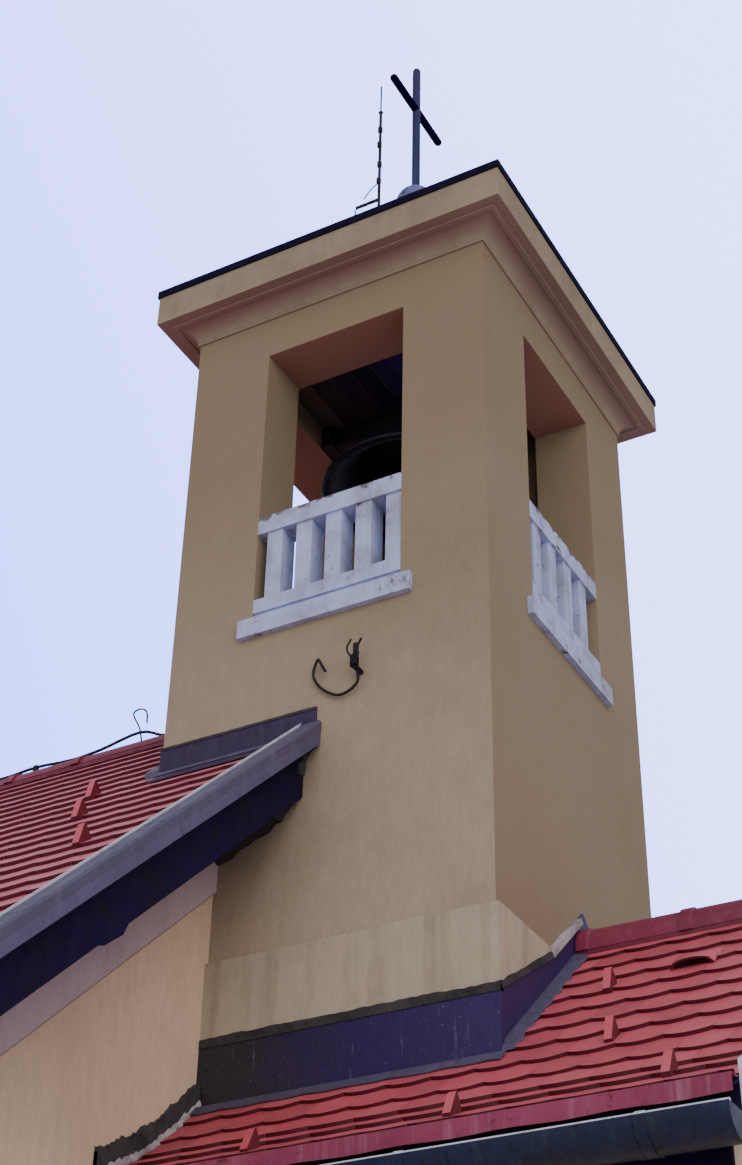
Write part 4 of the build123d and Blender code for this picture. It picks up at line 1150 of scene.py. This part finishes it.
def addBolt(shape, spot, axis, radius, height, sides=6):
    start, run = Vector(spot), Vector(axis)
    addTube(shape, [start - run * 0.002, start + run * height], radius, sides)


hangings, plates = newShape(), newShape()
for x in (b["towerX"] + x for x in yoke["straps"]):
    xs, outer = (x - yoke["half"], x + yoke["half"]), yoke["depth"][1]
    for side in (-1, 1):
        addBox(hangings, xs, yoke["depth"], (yoke["low"] + 0.004, yoke["high"] + 0.004), side)
        for z in (yoke["low"] + 0.030, yoke["high"] - 0.034):
            addBolt(hangings, (x, side * outer, z), (0, side, 0), bolt["radius"], bolt["height"])
    addBox(hangings, xs, (-outer, outer), (yoke["high"] - 0.001, yoke["high"] + 0.004))
for x in (b["towerX"] - bearing["reach"], b["towerX"] + bearing["reach"]):
    for side in (-1, 1):
        addBox(plates, (x - bearing["half"], x + bearing["half"]), bearing["depth"], bearing["z"], side)
        for z in bearing["bolts"]:
            addBolt(plates, (x, side * bearing["depth"][1], z), (0, side, 0), bolt["radius"], bolt["height"])
makePiece("yokeStraps", hangings, "darkIron", body="bell", smooth=0, bevel=0.001)
makePiece("bearingPlates", plates, "darkIron", smooth=0, bevel=0.001)

# Boards of the old shuttering under the belfry's ceiling, left out over the bearings
ceiling = {"width": 0.118, "gap": 0.006, "low": 7.8805, "top": 7.886, "x": (2.520, 3.570), "y": (-0.545, 0.545),
           "bearingHalf": 0.10}


def layCeiling(info):
    dice = random.Random(81)
    shape, tones = newShape(), []
    x, last = info["x"]
    while x < last - 0.02:
        end = min(x + info["width"], last)
        toBearing = abs(abs((x + end) / 2 - b["towerX"]) - bearing["reach"])
        if toBearing >= info["bearingHalf"]:
            low = info["low"] + dice.uniform(0.0, 0.002)
            addBox(shape, (x + info["gap"] / 2, end - info["gap"] / 2), info["y"], (low, info["top"]))
            tones += [dice.random()] * 8
        x += info["width"]
    makePiece("ceilingBoards", shape, "ceilingShadeAndSoot", smooth=0, tones=tones, bevel=0.002)


layCeiling(ceiling)
print("belfry furnished")

# The hook's stiff wire tail on the tower's wall, with a small coil round the hook and two cut ends
hook = {
    "x": 3.246, "y": -0.905, "z": 5.655, "coilRadius": 0.017, "coilRise": 0.011, "turns": 5, "coilWire": 0.0038,
    "tail": [(3.246, -0.885, 5.66), (3.246, -0.872, 5.603), (3.200, -0.862, 5.572), (3.141, -0.858, 5.567),
             (3.080, -0.856, 5.603), (3.038, -0.858, 5.647), (3.018, -0.864, 5.690), (3.020, -0.868, 5.722),
             (3.034, -0.870, 5.760), (3.045, -0.871, 5.768), (3.062, -0.872, 5.735), (3.082, -0.872, 5.697)],
    "tailWire": 0.0065,
    "ends": [(0.0055, [(3.252, -0.915, 5.665), (3.275, -0.925, 5.705), (3.262, -0.918, 5.735), (3.292, -0.93, 5.775)]),
             (0.0045, [(3.240, -0.918, 5.690), (3.218, -0.925, 5.742), (3.236, -0.922, 5.79)])],
}


def makeHookWire(info):
    shape = newShape()
    addTube(shape, smoothPath(info["tail"]), info["tailWire"], 10)
    size, rise = info["coilRadius"], info["coilRise"]
    for k in range(info["turns"]):
        z = info["z"] + rise * k
        coil = [(info["x"] + size * math.cos(t), info["y"] + size * math.sin(t), z + rise * t / (2 * math.pi))
                for t in (2 * math.pi * n / 12 for n in range(13))]
        addTube(shape, coil, info["coilWire"], 6)
    for radius, points in info["ends"]:
        addTube(shape, smoothPath(points), radius)
    makePiece("hookWireTail", shape, "darkIron")


makeHookWire(hook)

# The lightning conductor along the nave's ridge, on small posts, with a hooked holder near its start
conductor = {
    "radius": 0.008, "over": 0.016, "every": 0.90, "sag": (0.040, 0.032), "repeatFrom": 0.10,
    "posts": (0.773, -0.05, -0.95, -1.85, -2.75, -3.65),
    "start": [(2.222, 6.200), (2.10, 6.204), (1.90, 6.215), (1.72, 6.228), (1.589, 6.242), (1.44, 6.298),
              (1.192, 6.258), (1.004, 6.246), (0.773, 6.262), (0.541, 6.250)],
    "holder": [(1.503, 6.149), (1.477, 6.276), (1.428, 6.374), (1.438, 6.402), (1.482, 6.401), (1.511, 6.369),
               (1.517, 6.307)],
    "holderY": -0.05, "holderWire": 0.0045,
}


def makeConductor(info):
    shape = newShape()
    top = b["naveRidge"] + info["over"]
    path, x = [(x, 0, z) for x, z in info["start"]], info["repeatFrom"]
    while x > b["farGableX"]:
        path += [(x, 0, top + info["sag"][0]), (x - info["every"] / 2, 0, top + info["sag"][1])]
        x -= info["every"]
    addTube(shape, smoothPath(path, 4), info["radius"])
    for x in info["posts"]:
        addBox(shape, (x - 0.012, x + 0.012), (-0.010, 0.010), (top - 0.010, top + 0.050))
    addTube(shape, smoothPath([(x, info["holderY"], z) for x, z in info["holder"]]), info["holderWire"])
    makePiece("ridgeConductor", shape, "darkIron")


makeConductor(conductor)

# Lifted sliver at the barge board's lower edge: distance from the ridge, how far under the slope, out of the gable
sliver = ((1.95, 0.300, 0.421), (2.12, 0.298, 0.421), (2.09, 0.316, 0.430), (2.00, 0.324, 0.438))
shape = newShape()
for side in (-1, 1):
    ring = [(b["gableX"] + out, side * y, naveAt(y) - under) for y, under, out in sliver]
    backs = [(x - 0.004, y, z + 0.003) for x, y, z in ring]
    addLoft(shape, [ring, backs], side < 0)
makePiece("liftedSheet", shape, "boardPaint", smooth=0)

# Door furniture: strap hinges with their nails, a lever handle on its plate, and a keyhole
door = {"face": 4.783, "edge": 0.41, "straps": (0.32, 1.05, 1.80), "strapHalf": 0.022, "nails": (0.07, 0.20, 0.33),
        "pin": 0.010, "pinHalf": 0.045, "handleY": -0.33, "handleZ": 1.04, "handle": 0.009,
        "lever": ((0.003, 0.0, 0.04), (0.050, 0.0, 0.04), (0.056, 0.03, 0.04), (0.054, 0.125, 0.032))}


def makeDoorFurniture(info):
    metal = newShape()
    x, y, h = info["face"], info["handleY"], info["handleZ"]
    for z in info["straps"]:
        zs = (z - info["strapHalf"], z + info["strapHalf"])
        addBox(metal, (x - 0.001, x + 0.005), (0.02, info["edge"] - 0.004), zs)
        for nailY in info["nails"]:
            addBolt(metal, (x + 0.005, nailY, z), (1, 0, 0), bolt["nail"], bolt["nailHeight"], 10)
        addTube(metal, [(x + 0.006, info["edge"] - 0.002, z + pin) for pin in (-info["pinHalf"], info["pinHalf"])],
                info["pin"], 12)
    addBox(metal, (x - 0.001, x + 0.004), (y - 0.022, y + 0.022), (h - 0.12, h + 0.10))
    addTube(metal, smoothPath([(x + dx, y + dy, h + dz) for dx, dy, dz in info["lever"]]), info["handle"], 12)
    addTube(metal, [(x + 0.003, y, h - 0.05), (x + 0.0065, y, h - 0.05)], info["handle"], 16)
    makePiece("doorFurniture", metal, "darkIron", smooth=40, bevel=0.0012)


makeDoorFurniture(door)
print("wires, sliver and door furniture made")

# Pale floor to stand on; it isn't part of the chapel
floor = {"half": 30, "z": -0.004, "colour": (0.72, 0.71, 0.69)}


def addFloor(info):
    half, z = info["half"], info["z"]
    mesh = bpy.data.meshes.new("paleFloor")
    mesh.from_pydata([(-half, -half, z), (half, -half, z), (half, half, z), (-half, half, z)], [], [(0, 1, 2, 3)])
    tree, surface = startMaterial("paleFloor", 0.95)
    feed(tree, surface.inputs["Base Color"], info["colour"])
    mesh.materials.append(materials["paleFloor"])
    addObject("paleFloor", mesh)


addFloor(floor)
